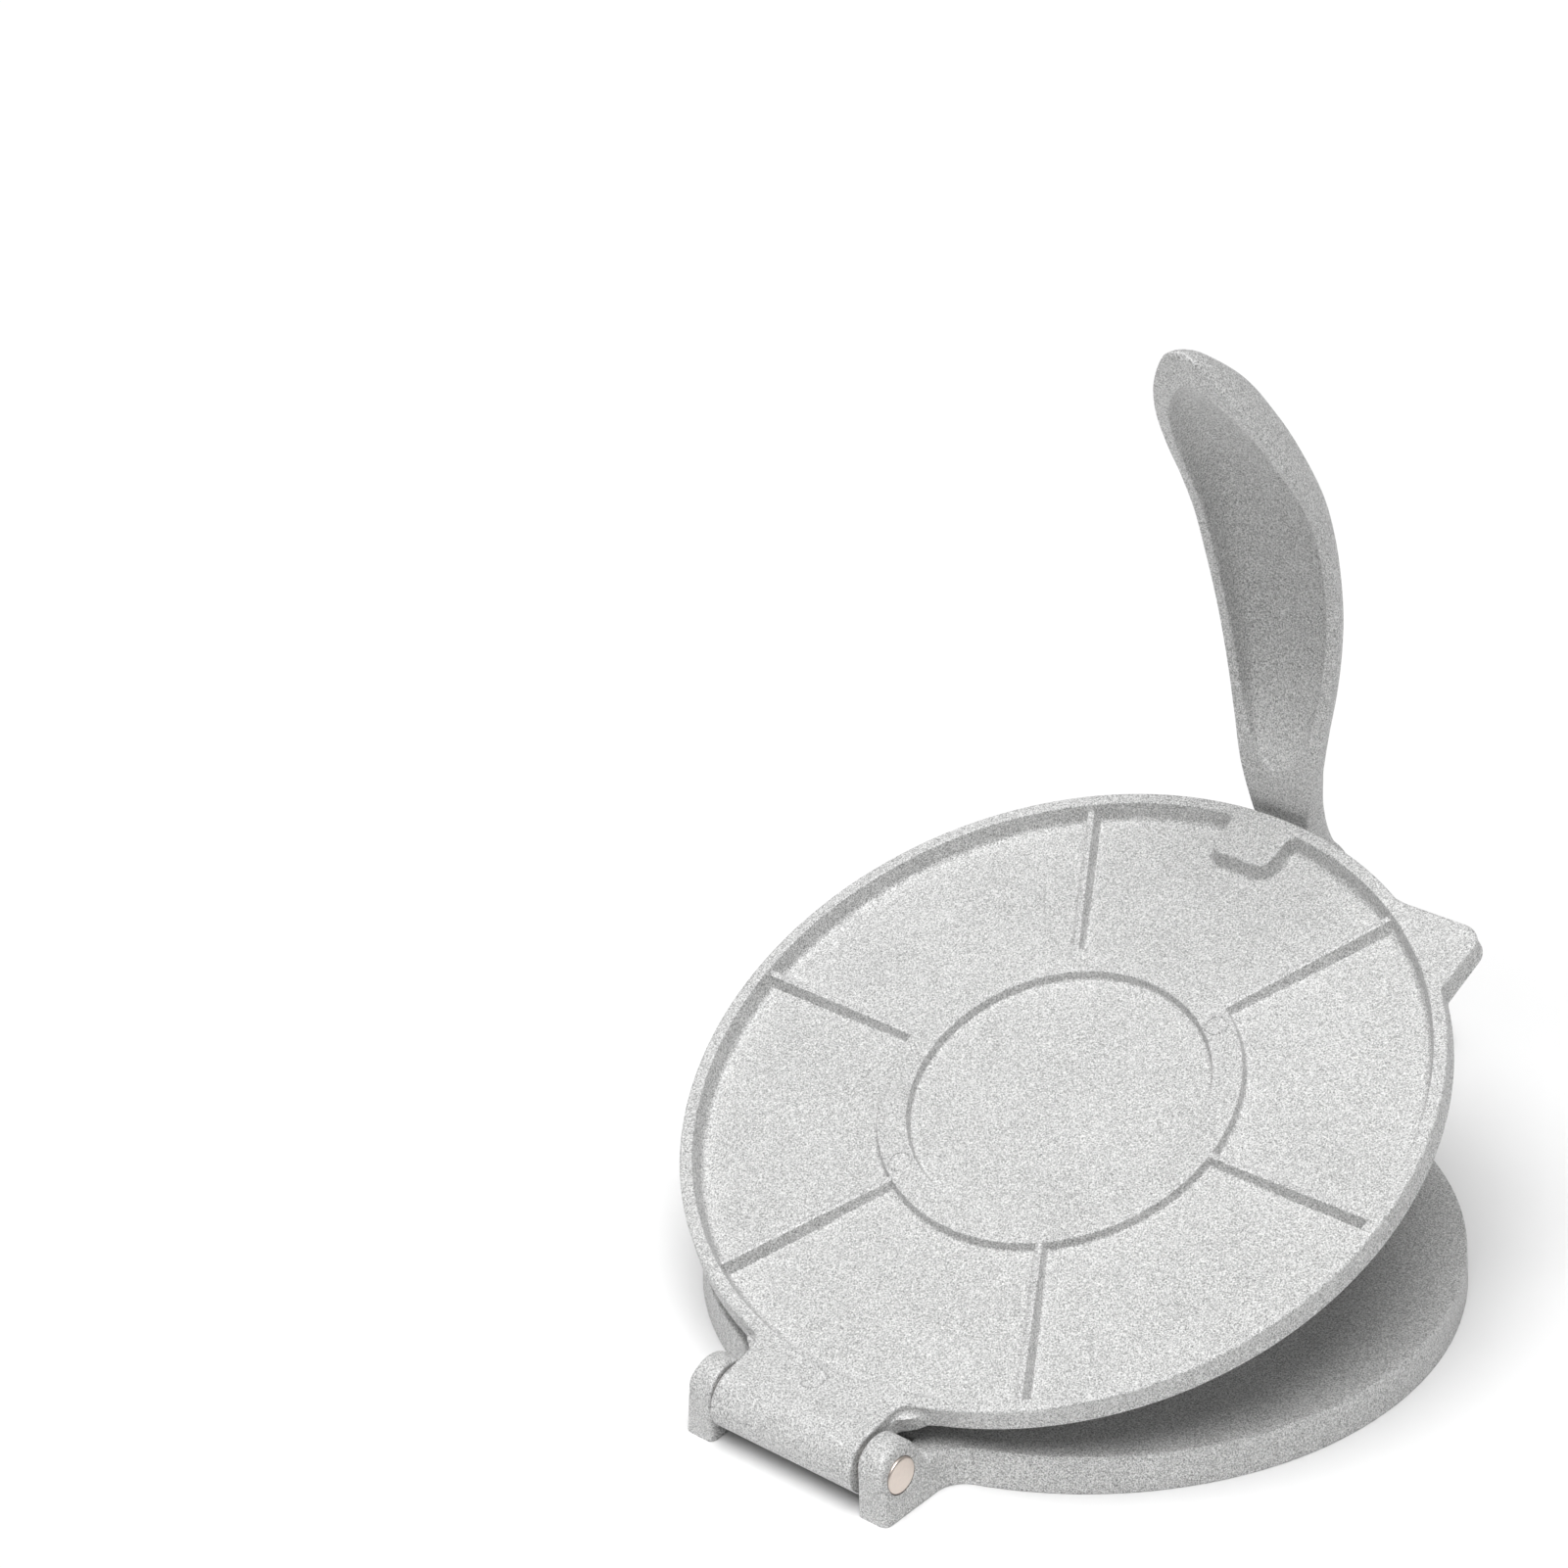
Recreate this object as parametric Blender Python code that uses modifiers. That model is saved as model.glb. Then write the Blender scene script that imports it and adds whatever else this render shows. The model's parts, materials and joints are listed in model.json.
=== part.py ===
"""Cast tortilla press, in metres, with +Z up.

The world origin is on the surface that the press stands on, under the middle of its footprint. The
pressing disc's centre is the natural centre of every piece, so an empty there carries them all. +Y
points to the hinge of the pressing plate and -Y to the lever. The plate is modelled closed and its
empty, on the hinge axis, turns it open. The lever is modelled upright about its own pivot.
"""

import math

import bmesh
import bpy
import numpy as np
from mathutils import Matrix

# Clearances and cuts
SEAT_GAP = 0.0003
PIN_GAP = 0.0001
OVERRUN = 0.0015
JOIN_STEP = 0.0001
WELD = 0.000001

# Facets
TURN_STEPS = 96
PIN_STEPS = 32
ARC_STEPS = 8

# Plan, from the middle of the pressing disc
PLATE_RADIUS = 0.0825
HINGE_BEHIND_RIM = 0.0090
LEVER_BEFORE_RIM = 0.0120
HINGE_REACH = PLATE_RADIUS + HINGE_BEHIND_RIM
LEVER_REACH = PLATE_RADIUS + LEVER_BEFORE_RIM

# Base casting
BASE_HEIGHT = 0.00855
FOOT_INSIDE_RIM = 0.0009
FOOT_RADIUS = PLATE_RADIUS - FOOT_INSIDE_RIM
BASE_DRAFT = 0.0004
BASE_EDGE = 0.0006
BASE_SKIN = 0.0032
BASE_WALL = 0.0034
BASE_RIB_WIDTH = 0.0026
BASE_RIB_RELIEF = 0.0012
BASE_RING_INNER = 0.0330
BASE_RING_OUTER = 0.0366

# Tongue in front of the disc
TONGUE_BEYOND_LEVER = 0.0335
TONGUE_REACH = LEVER_REACH + TONGUE_BEYOND_LEVER
TONGUE_HALF_WIDTH = 0.0140
TONGUE_FLARE = 0.0480
RIDGE_BEYOND_LEVER = 0.0105
RIDGE_OUTER = LEVER_REACH + RIDGE_BEYOND_LEVER
RIDGE_WIDTH = 0.0020
RIDGE_HEIGHT = 0.0020
RIDGE_HALF_LENGTH = 0.0155
DIMPLE_BEYOND_LEVER = 0.0205
DIMPLE_REACH = LEVER_REACH + DIMPLE_BEYOND_LEVER
DIMPLE_RADIUS = 0.0043
DIMPLE_DEPTH = 0.0012

# Hinge lugs behind the disc
HINGE_HEIGHT = 0.0093
LUG_INNER = 0.0193
LUG_OUTER = 0.0268
LUG_BEHIND_HINGE = 0.0060
LUG_REAR = HINGE_REACH + LUG_BEHIND_HINGE
LUG_FILLET = 0.0070
LUG_CORNER = 0.0012
EAR_SHOULDER = 0.0007
EAR_HALF_LENGTH = 0.0059
EAR_CENTRE = 0.0104
EAR_ROUNDING = 0.0009
EAR_ROOT = 0.0030

# Ears that carry the lever
LEVER_HEIGHT = 0.0200
LEVER_EAR_INNER = 0.0035
LEVER_EAR_WIDTH = 0.0045
LEVER_EAR_HALF_LENGTH = 0.0082
LEVER_EAR_TOP = 0.0330
LEVER_EAR_ROUNDING = 0.0006
PLINTH_HALF_WIDTH = 0.0095
PLINTH_HALF_LENGTH = 0.0090
PLINTH_HEIGHT = 0.0013

# Pressing plate, measured from its flat underside
PLATE_OPEN = math.radians(22.5)
PLATE_THICKNESS = 0.0056
PLATE_FLOOR = 0.0016
PLATE_DRAFT = 0.0004
PLATE_EDGE = 0.0005
RIM_LAND = 0.0026
RIM_FOOT = 0.0042
RING_OUTER = 0.0394
RING_INNER = 0.0326
RING_HEIGHT = 0.0034
RING_DRAFT = 0.0006
PLATE_RIB_HEIGHT = 0.0044
PLATE_RIB_TOP = 0.0021
PLATE_RIB_FOOT = 0.0034
PAD_HALF_WIDTH = 0.0076
PAD_LENGTH = 0.0142
PAD_INNER = PLATE_RADIUS - PAD_LENGTH
PAD_CORNER = 0.0030
PAD_FILLET = 0.0020
TAB_SIDE_INSIDE_RIM = 0.0215
TAB_FRONT_INSIDE_RIM = 0.0110
TAB_SIDE = PLATE_RADIUS - TAB_SIDE_INSIDE_RIM
TAB_FRONT = PLATE_RADIUS - TAB_FRONT_INSIDE_RIM
TAB_CORNER = 0.0040
WEB_HALF_WIDTH = 0.0188
WEB_FILLET = 0.0030
BARREL_RADIUS = 0.0070
BARREL_HALF_LENGTH = 0.0189

# Pins
HINGE_PIN_RADIUS = 0.0040
HINGE_PIN_HALF_LENGTH = 0.0265
LEVER_PIN_RADIUS = 0.0030
LEVER_PIN_HALF_LENGTH = 0.0083
PIN_CHAMFER = 0.0004

# Lever root, about its pivot
LEVER_SWING = math.radians(8.0)
PIVOT_BOSS_RADIUS = 0.0076
ARCH_RADIUS = 0.0165
HEEL_RADIUS = 0.0230
HEEL_SOLE_INNER = RIDGE_BEYOND_LEVER + SEAT_GAP
HEEL_SOLE_OUTER = 0.0184
NECK_RISE = 0.0500
ROOT_HALF_WIDTH = 0.0048
ROOT_ROUNDING = 0.0012
PRESSER_REACH = 0.0095
PRESSER_RISE = 0.0160
PRESSER_SIDE = 0.0070
PRESSER_HALF_LENGTH = 0.0100
PRESSER_CHAMFER = 0.0010

# Lever grip
GRIP_FOOT = 0.0440
GRIP_TOP = 0.1790
GRIP_LEAN = 0.0615
GRIP_HALF_WIDTH = 0.0168
GRIP_DEPTH = 0.0153
GRIP_WALL = 0.0032
HOLLOW_HALF_WIDTH = 0.0136
GRIP_RINGS = 30
BACK_STEPS = 18
HOLLOW_STEPS = 12

# Shares of the named sizes above, chosen by hand from the foot of the grip to its tip: how far up the
# grip, how far the rim leans over the plate, half width, depth behind the rim, half width of the hollow
GRIP_SHARES = (
    (0.00, 0.299, 0.27, 0.88, 0.00),
    (0.05, 0.350, 0.34, 0.85, 0.00),
    (0.12, 0.400, 0.42, 0.86, 0.00),
    (0.19, 0.420, 0.54, 0.87, 0.16),
    (0.27, 0.419, 0.65, 0.82, 0.46),
    (0.34, 0.416, 0.75, 0.80, 0.68),
    (0.42, 0.425, 0.85, 0.77, 0.83),
    (0.49, 0.447, 0.92, 0.75, 0.91),
    (0.56, 0.484, 0.97, 0.76, 0.96),
    (0.64, 0.540, 1.00, 0.78, 1.00),
    (0.71, 0.617, 0.99, 0.87, 1.00),
    (0.78, 0.720, 0.92, 0.98, 0.93),
    (0.86, 0.843, 0.78, 1.00, 0.69),
    (0.93, 0.948, 0.54, 0.95, 0.10),
    (0.97, 0.986, 0.36, 0.78, 0.00),
    (1.00, 1.000, 0.12, 0.34, 0.00),
)

# Shares of the heel's radius and of the neck's rise: the lever root's back from the neck to the heel,
# and its plate side from the presser up to the neck
ROOT_BACK_SHARES = (
    (0.37, 0.96),
    (0.20, 0.88),
    (0.05, 0.76),
    (-0.14, 0.64),
    (-0.38, 0.52),
    (-0.62, 0.40),
    (-0.83, 0.28),
    (-0.96, 0.16),
    (-1.00, 0.04),
    (-0.95, -0.08),
)
ROOT_FRONT_SHARES = (
    (0.40, 0.38),
    (0.29, 0.47),
    (0.24, 0.56),
    (0.30, 0.64),
    (0.50, 0.74),
    (0.74, 0.86),
    (0.84, 0.96),
)

RIB_ANGLES = tuple(math.radians(degrees) for degrees in (30, 90, 150, 210, 270, 330))
DISC_CENTRE_Y = (TONGUE_REACH - HINGE_REACH - BARREL_RADIUS) / 2
PLATE_BOTTOM = BASE_HEIGHT + SEAT_GAP


def clear_scene():
    """Removes whatever the file holds when the script starts."""
    for old in list(bpy.data.objects):
        bpy.data.objects.remove(old, do_unlink=True)


def new_collection(name):
    """A collection of that name, linked to the scene."""
    made = bpy.data.collections.new(name)
    bpy.context.scene.collection.children.link(made)
    return made


def metal(name, colour, roughness):
    """A metal finish as a Principled BSDF."""
    made = bpy.data.materials.new(name)
    made.use_nodes = True
    shader = made.node_tree.nodes["Principled BSDF"]
    shader.inputs["Base Color"].default_value = (*colour, 1.0)
    shader.inputs["Metallic"].default_value = 1.0
    shader.inputs["Roughness"].default_value = roughness
    return made


def place(name, mesh, parent, collection):
    """An object of that mesh under its parent empty."""
    made = bpy.data.objects.new(name, mesh)
    collection.objects.link(made)
    made.parent = parent
    mesh.shade_smooth()
    mesh.set_sharp_from_angle(angle=math.radians(30))
    return made


def mesh_of(name, form):
    """A mesh with the bmesh's faces turned outwards; frees the bmesh."""
    bmesh.ops.recalc_face_normals(form, faces=form.faces)
    mesh = bpy.data.meshes.new(name)
    form.to_mesh(mesh)
    form.free()
    return mesh


def arc(centre, radius, start, end, steps=ARC_STEPS):
    """Points on a circle's arc, with both of its ends."""
    return [
        (centre[0] + radius * math.cos(angle), centre[1] + radius * math.sin(angle))
        for angle in np.linspace(start, end, steps + 1)
    ]


def flare(disc_radius, half_width, fillet):
    """The concave fillet from a lug's straight side, at half_width, to the disc, behind it on +X."""
    centre_x = half_width + fillet
    centre_y = math.sqrt((disc_radius + fillet) ** 2 - centre_x**2)
    touch = math.atan2(centre_y, centre_x)
    return arc((centre_x, centre_y), fillet, math.pi, math.pi + touch)


def mirrored(half):
    """A closed outline from its +X half, whose first and last points lie at x = 0."""
    return half + [(-x, y) for x, y in reversed(half[1:-1])]


def loft(name, rings):
    """A closed mesh through rings of equal length, each a list of (x, y, z), capped at both ends."""
    form = bmesh.new()
    rows = [[form.verts.new(point) for point in ring] for ring in rings]
    count = len(rows[0])
    for low, high in zip(rows, rows[1:]):
        for i in range(count):
            j = (i + 1) % count
            form.faces.new((low[i], low[j], high[j], high[i]))
    form.faces.new(rows[0])
    form.faces.new(rows[-1])
    return mesh_of(name, form)


def drafted(name, outline, levels):
    """A loft of outline(inset) at each (inset, height), as a mould gives it."""
    return loft(name, [[(x, y, height) for x, y in outline(inset)] for inset, height in levels])


def rounded_top(bottom, top, draft, edge):
    """Levels of a drafted wall whose top edge is rounded."""
    share = math.sin(math.radians(45))
    return (
        (0, bottom),
        (draft, top - edge),
        (draft + edge * (1 - share), top - edge * (1 - share)),
        (draft + edge, top),
    )


def turned(name, profile, steps, parent, collection):
    """A profile of (radius, height), outer side downwards, turned about Z."""
    mesh = bpy.data.meshes.new(name)
    edges = [(i, i + 1) for i in range(len(profile) - 1)]
    mesh.from_pydata([(radius, 0, height) for radius, height in profile], edges, [])
    made = bpy.data.objects.new(name, mesh)
    collection.objects.link(made)
    made.parent = parent
    screw = made.modifiers.new("turn", "SCREW")
    screw.steps = steps
    screw.render_steps = steps
    screw.use_merge_vertices = True
    screw.merge_threshold = WELD
    screw.use_smooth_shade = True
    return made


def flat_outline(name, points, half_thickness, matrix):
    """A filled 2D curve of that half thickness as a mesh, turned and moved by the matrix."""
    data = bpy.data.curves.new(name, "CURVE")
    data.dimensions = "2D"
    data.fill_mode = "BOTH"
    data.extrude = half_thickness
    spline = data.splines.new("POLY")
    spline.points.add(len(points) - 1)
    for point, (x, y) in zip(spline.points, points):
        point.co = (x, y, 0, 1)
    spline.use_cyclic_u = True
    curve = bpy.data.objects.new(name, data)
    bpy.context.scene.collection.objects.link(curve)
    graph = bpy.context.evaluated_depsgraph_get()
    mesh = bpy.data.meshes.new_from_object(curve.evaluated_get(graph))
    bpy.data.objects.remove(curve, do_unlink=True)
    form = bmesh.new()
    form.from_mesh(mesh)
    bpy.data.meshes.remove(mesh)
    bmesh.ops.remove_doubles(form, verts=form.verts, dist=WELD)
    bmesh.ops.transform(form, matrix=matrix, verts=form.verts)
    return mesh_of(name, form)


def drawn_in(points, inset):
    """The closed outline moved in by inset; a sharp corner moves along the line that halves it."""
    here = np.array(points)
    ahead = np.roll(here, -1, axis=0) - here
    ahead /= np.linalg.norm(ahead, axis=1, keepdims=True)
    normal = np.stack((ahead[:, 1], -ahead[:, 0]), axis=1)
    before = np.roll(normal, 1, axis=0)
    return here - inset * (normal + before) / (1 + np.sum(normal * before, axis=1, keepdims=True))


def slab(name, points, half_thickness, edge):
    """An upright slab of an outline of (y, z) with its middle at x = 0 and both rims rounded."""
    share = math.sin(math.radians(45))
    levels = [(edge, half_thickness), (edge * (1 - share), half_thickness - edge * (1 - share))]
    levels.append((0, half_thickness - edge))
    levels += [(inset, -x) for inset, x in reversed(levels)]
    rings = [[(x, y, z) for y, z in drawn_in(points, inset)] for inset, x in levels]
    return loft(name, rings)


def side_on(offset):
    """Takes an outline of (y, z) and its thickness to the plane x = offset."""
    return Matrix.Translation((offset, 0, 0)) @ Matrix(((0, 0, 1, 0), (1, 0, 0, 0), (0, 1, 0, 0), (0, 0, 0, 1)))


def block(name, low, high):
    """A box between two corners."""
    form = bmesh.new()
    size = [b - a for a, b in zip(low, high)]
    middle = [(a + b) / 2 for a, b in zip(low, high)]
    bmesh.ops.create_cube(form, size=1, matrix=Matrix.Translation(middle) @ Matrix.Diagonal((*size, 1)))
    return mesh_of(name, form)


def rod(name, radius, half_length, centre, steps=PIN_STEPS):
    """A cylinder along X."""
    form = bmesh.new()
    bmesh.ops.create_cone(
        form,
        cap_ends=True,
        segments=steps,
        radius1=radius,
        radius2=radius,
        depth=2 * half_length,
        matrix=Matrix.Translation(centre) @ Matrix.Rotation(math.radians(90), 4, "Y"),
    )
    return mesh_of(name, form)


def rounded(made, width, segments=2):
    """Rounds the piece's sharp edges."""
    bevel = made.modifiers.new("rounding", "BEVEL")
    bevel.width = width
    bevel.segments = segments
    bevel.limit_method = "ANGLE"
    bevel.angle_limit = math.radians(40)
    return made


class Casting:
    """One named piece and the tool shapes that a Boolean joins to it or cuts from it."""

    def __init__(self, body, material, tools):
        """Takes the body's object, its finish and the collection of tool shapes."""
        self.body = body
        self.tools = tools
        body.data.materials.append(material)

    def _add(self, other, operation):
        if isinstance(other, bpy.types.Mesh):
            other = place(other.name, other, self.body.parent, self.tools)
        other.hide_render = True
        other.display_type = "WIRE"
        step = self.body.modifiers.new(other.name, "BOOLEAN")
        step.object = other
        step.operation = operation
        step.solver = "EXACT"

    def join(self, other):
        """Joins a mesh, or an object with its modifiers, to the piece."""
        self._add(other, "UNION")

    def cut(self, other):
        """Cuts a mesh, or an object with its modifiers, from the piece."""
        self._add(other, "DIFFERENCE")

    def tool(self, mesh):
        """An object of a tool mesh that takes modifiers before it is joined or cut."""
        return place(mesh.name, mesh, self.body.parent, self.tools)

    def finish(self):
        """Applies the modifiers, so that faces made level stay level when the piece is turned."""
        bpy.context.view_layer.update()
        graph = bpy.context.evaluated_depsgraph_get()
        mesh = bpy.data.meshes.new_from_object(self.body.evaluated_get(graph))
        self.body.modifiers.clear()
        mesh.name = self.body.name
        mesh.shade_smooth()
        mesh.set_sharp_from_angle(angle=math.radians(30))
        self.body.data = mesh


def base_outline(inset):
    """Plan of the base: disc, tongue and the two lugs' arms, all drawn in by inset."""
    disc = FOOT_RADIUS - inset
    width = TONGUE_HALF_WIDTH - inset
    nose = arc((0, -(TONGUE_REACH - TONGUE_HALF_WIDTH)), width, math.radians(-90), 0)
    front = [(x, -y) for x, y in flare(disc, width, TONGUE_FLARE + inset)]
    rear = list(reversed(flare(disc, LUG_OUTER - inset, LUG_FILLET + inset)))
    start = math.atan2(front[-1][1], front[-1][0])
    end = math.atan2(rear[0][1], rear[0][0])
    side = arc((0, 0), disc, start, end, TURN_STEPS // 3)[1:-1]
    outer = LUG_OUTER - inset
    inner = LUG_INNER + inset
    back = LUG_REAR - inset
    corners = arc((outer - LUG_CORNER, back - LUG_CORNER), LUG_CORNER, 0, math.radians(90), 2)
    corners += arc((inner + LUG_CORNER, back - LUG_CORNER), LUG_CORNER, math.radians(90), math.pi, 2)
    notch = arc((0, 0), disc, math.acos(inner / disc), math.radians(90))
    return mirrored(nose + front + side + rear + corners + notch)


def tongue_outline(inset):
    """Plan of the hollow under the tongue, which opens into the hollow under the disc."""
    width = TONGUE_HALF_WIDTH - inset
    nose = arc((0, -(TONGUE_REACH - TONGUE_HALF_WIDTH)), width, math.radians(-90), 0)
    return mirrored(nose + [(width, -(FOOT_RADIUS - 2 * inset)), (0, -(FOOT_RADIUS - 2 * inset))])


def make_base(frame, material, pieces, tools):
    """The base casting: hollow, ribbed disc with the tongue, two hinge lugs and two lever ears."""
    plan = drafted("base", base_outline, rounded_top(0, BASE_HEIGHT, BASE_DRAFT, BASE_EDGE))
    base = Casting(place("base", plan, frame, pieces), material, tools)
    roof = BASE_HEIGHT - BASE_SKIN
    wall = FOOT_RADIUS - BASE_WALL
    hollow = ((0, roof), (wall - BASE_WALL / 2, roof), (wall, roof - BASE_WALL / 2), (wall, -OVERRUN), (0, -OVERRUN))
    base.cut(turned("disc_hollow", hollow, TURN_STEPS, frame, tools))
    base.cut(drafted("tongue_hollow", tongue_outline, ((BASE_WALL, -OVERRUN), (BASE_WALL + BASE_DRAFT, roof))))

    ring = (
        (BASE_RING_INNER, roof + BASE_SKIN / 2),
        (BASE_RING_OUTER, roof + BASE_SKIN / 2),
        (BASE_RING_OUTER, BASE_RIB_RELIEF),
        (BASE_RING_INNER, BASE_RIB_RELIEF),
        (BASE_RING_INNER, roof + BASE_SKIN / 2),
    )
    base.join(turned("base_ring", ring, TURN_STEPS, frame, tools))
    for number, angle in enumerate(RIB_ANGLES):
        rib = block(
            f"base_rib_{number + 1}",
            (-BASE_RIB_WIDTH / 2, -(wall + BASE_WALL / 2), BASE_RIB_RELIEF),
            (BASE_RIB_WIDTH / 2, -(BASE_RING_INNER + BASE_RING_OUTER) / 2, roof + BASE_SKIN / 3),
        )
        rib.transform(Matrix.Rotation(angle, 4, "Z"))
        base.join(rib)

    make_hinge_lugs(base)
    make_lever_ears(base)
    base.finish()


def make_hinge_lugs(base):
    """The round tops of the two lugs that hold the plate's hinge pin, and the pin's holes."""
    ear_half_width = (LUG_OUTER - LUG_INNER) / 2 - EAR_SHOULDER
    centre_y = LUG_REAR - EAR_SHOULDER - EAR_HALF_LENGTH
    outline = arc((centre_y, EAR_CENTRE), EAR_HALF_LENGTH, 0, math.pi, 2 * ARC_STEPS)
    outline += [(centre_y - EAR_HALF_LENGTH, EAR_ROOT), (centre_y + EAR_HALF_LENGTH, EAR_ROOT)]
    for name, side in (("hinge_ear_right", 1), ("hinge_ear_left", -1)):
        middle = side_on(side * (LUG_INNER + LUG_OUTER) / 2)
        base.join(rounded(base.tool(flat_outline(name, outline, ear_half_width, middle)), EAR_ROUNDING))
    bore = rod("hinge_bore", HINGE_PIN_RADIUS + PIN_GAP, LUG_OUTER + OVERRUN, (0, HINGE_REACH, HINGE_HEIGHT))
    base.cut(bore)


def make_lever_ears(base):
    """The plinth, the two ears of the lever's pin, the ridge across the tongue and its dimple."""
    sunk = BASE_HEIGHT - OVERRUN
    plinth = block(
        "plinth",
        (-PLINTH_HALF_WIDTH, -LEVER_REACH - PLINTH_HALF_LENGTH, sunk),
        (PLINTH_HALF_WIDTH, -LEVER_REACH + PLINTH_HALF_LENGTH, BASE_HEIGHT + PLINTH_HEIGHT),
    )
    base.join(plinth)
    base.join(
        block(
            "ridge",
            (-RIDGE_HALF_LENGTH, -RIDGE_OUTER, sunk),
            (RIDGE_HALF_LENGTH, -RIDGE_OUTER + RIDGE_WIDTH, BASE_HEIGHT + RIDGE_HEIGHT),
        )
    )
    half = LEVER_EAR_HALF_LENGTH
    outline = arc((-LEVER_REACH, LEVER_EAR_TOP - half), half, 0, math.pi, 2 * ARC_STEPS)
    outline += [(-LEVER_REACH - half, BASE_HEIGHT), (-LEVER_REACH + half, BASE_HEIGHT)]
    for name, side in (("lever_ear_right", 1), ("lever_ear_left", -1)):
        middle = side_on(side * (LEVER_EAR_INNER + LEVER_EAR_WIDTH / 2))
        ear = base.tool(flat_outline(name, outline, LEVER_EAR_WIDTH / 2, middle))
        base.join(rounded(ear, LEVER_EAR_ROUNDING))
    reach = LEVER_EAR_INNER + LEVER_EAR_WIDTH + OVERRUN
    base.cut(rod("lever_bore", LEVER_PIN_RADIUS + PIN_GAP, reach, (0, -LEVER_REACH, LEVER_HEIGHT)))
    ball = (DIMPLE_RADIUS**2 + DIMPLE_DEPTH**2) / (2 * DIMPLE_DEPTH)
    form = bmesh.new()
    bmesh.ops.create_uvsphere(form, u_segments=PIN_STEPS, v_segments=PIN_STEPS, radius=ball)
    dimple = mesh_of("dimple", form)
    dimple.transform(Matrix.Translation((0, -DIMPLE_REACH, BASE_HEIGHT + ball - DIMPLE_DEPTH)))
    base.cut(dimple)


def plate_profile():
    """Half section of the plate: centre floor, raised ring, outer floor, rim and flat underside."""
    floor = PLATE_BOTTOM + PLATE_FLOOR
    ring = PLATE_BOTTOM + RING_HEIGHT
    top = PLATE_BOTTOM + PLATE_THICKNESS
    land = PLATE_RADIUS - PLATE_DRAFT - RIM_LAND
    return (
        (0, floor),
        (RING_INNER - RING_DRAFT, floor),
        (RING_INNER, ring),
        (RING_OUTER, ring),
        (RING_OUTER + RING_DRAFT, floor),
        (PLATE_RADIUS - RIM_FOOT - RING_DRAFT, floor),
        (PLATE_RADIUS - RIM_FOOT, floor + RING_DRAFT / 2),
        (land, top - PLATE_EDGE / 2),
        (land + PLATE_EDGE / 2, top),
        (PLATE_RADIUS - PLATE_DRAFT - PLATE_EDGE, top),
        (PLATE_RADIUS - PLATE_DRAFT, top - PLATE_EDGE),
        (PLATE_RADIUS, PLATE_BOTTOM + PLATE_EDGE),
        (PLATE_RADIUS - PLATE_EDGE, PLATE_BOTTOM),
        (0, PLATE_BOTTOM),
    )


def rim_middle():
    """Radius inside the rim's wall, where the pieces joined to the rim end."""
    return PLATE_RADIUS - PLATE_DRAFT - RIM_LAND / 2


def pad_outline(inset):
    """Plan of the pad that takes the lever's pressure, from its rounded inner end into the rim."""
    half = PAD_HALF_WIDTH - inset
    end = PAD_INNER + inset
    root = math.sqrt(rim_middle() ** 2 - (half + PAD_FILLET) ** 2)
    foot = PLATE_RADIUS - RIM_FOOT
    neck = math.sqrt(foot**2 - (half + PAD_FILLET) ** 2) - PAD_FILLET
    corner = arc((half - PAD_CORNER, -end - PAD_CORNER), PAD_CORNER, math.radians(90), 0, 4)
    fillet = arc((half + PAD_FILLET, -neck), PAD_FILLET, math.pi, math.radians(270), 4)
    return mirrored([(0, -end)] + corner + fillet + [(half + PAD_FILLET, -root), (0, -rim_middle())])


def tab_outline(inset):
    """Plan of the lifting tab: a rounded square corner that stands out of the rim."""
    side = TAB_SIDE - inset
    front = TAB_FRONT - inset
    disc = rim_middle()
    corner = arc((-side + TAB_CORNER, -front + TAB_CORNER), TAB_CORNER, math.pi, math.radians(270), 6)
    start = math.atan2(-front, -math.sqrt(disc**2 - front**2))
    end = math.atan2(-math.sqrt(disc**2 - side**2), -side)
    return corner + arc((0, 0), disc, start, end)


def web_outline(inset):
    """Plan of the web from the rim to the hinge barrel, flared where it leaves the rim."""
    half = WEB_HALF_WIDTH - inset
    disc = rim_middle()
    fillet = list(reversed(flare(PLATE_RADIUS - PLATE_DRAFT, half, WEB_FILLET)))
    start = math.atan2(fillet[0][1], fillet[0][0])
    rim = arc((0, 0), disc, math.radians(90), start)
    return mirrored(rim + fillet + [(half, HINGE_REACH), (0, HINGE_REACH)])


def plate_rib(name, angle):
    """One straight rib from the ring to the rim, with sloping sides."""
    low = PLATE_BOTTOM + PLATE_FLOOR / 2
    top = PLATE_BOTTOM + PLATE_RIB_HEIGHT
    shoulder = top - PLATE_RIB_TOP / 4
    section = (
        (-PLATE_RIB_FOOT / 2, low),
        (PLATE_RIB_FOOT / 2, low),
        (PLATE_RIB_TOP / 2, shoulder),
        (PLATE_RIB_TOP / 4, top),
        (-PLATE_RIB_TOP / 4, top),
        (-PLATE_RIB_TOP / 2, shoulder),
    )
    near = RING_OUTER - RING_DRAFT
    far = rim_middle()
    upright = Matrix.Translation((0, -(near + far) / 2, 0)) @ Matrix.Rotation(math.radians(90), 4, "X")
    return flat_outline(name, section, (far - near) / 2, Matrix.Rotation(angle, 4, "Z") @ upright)


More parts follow.
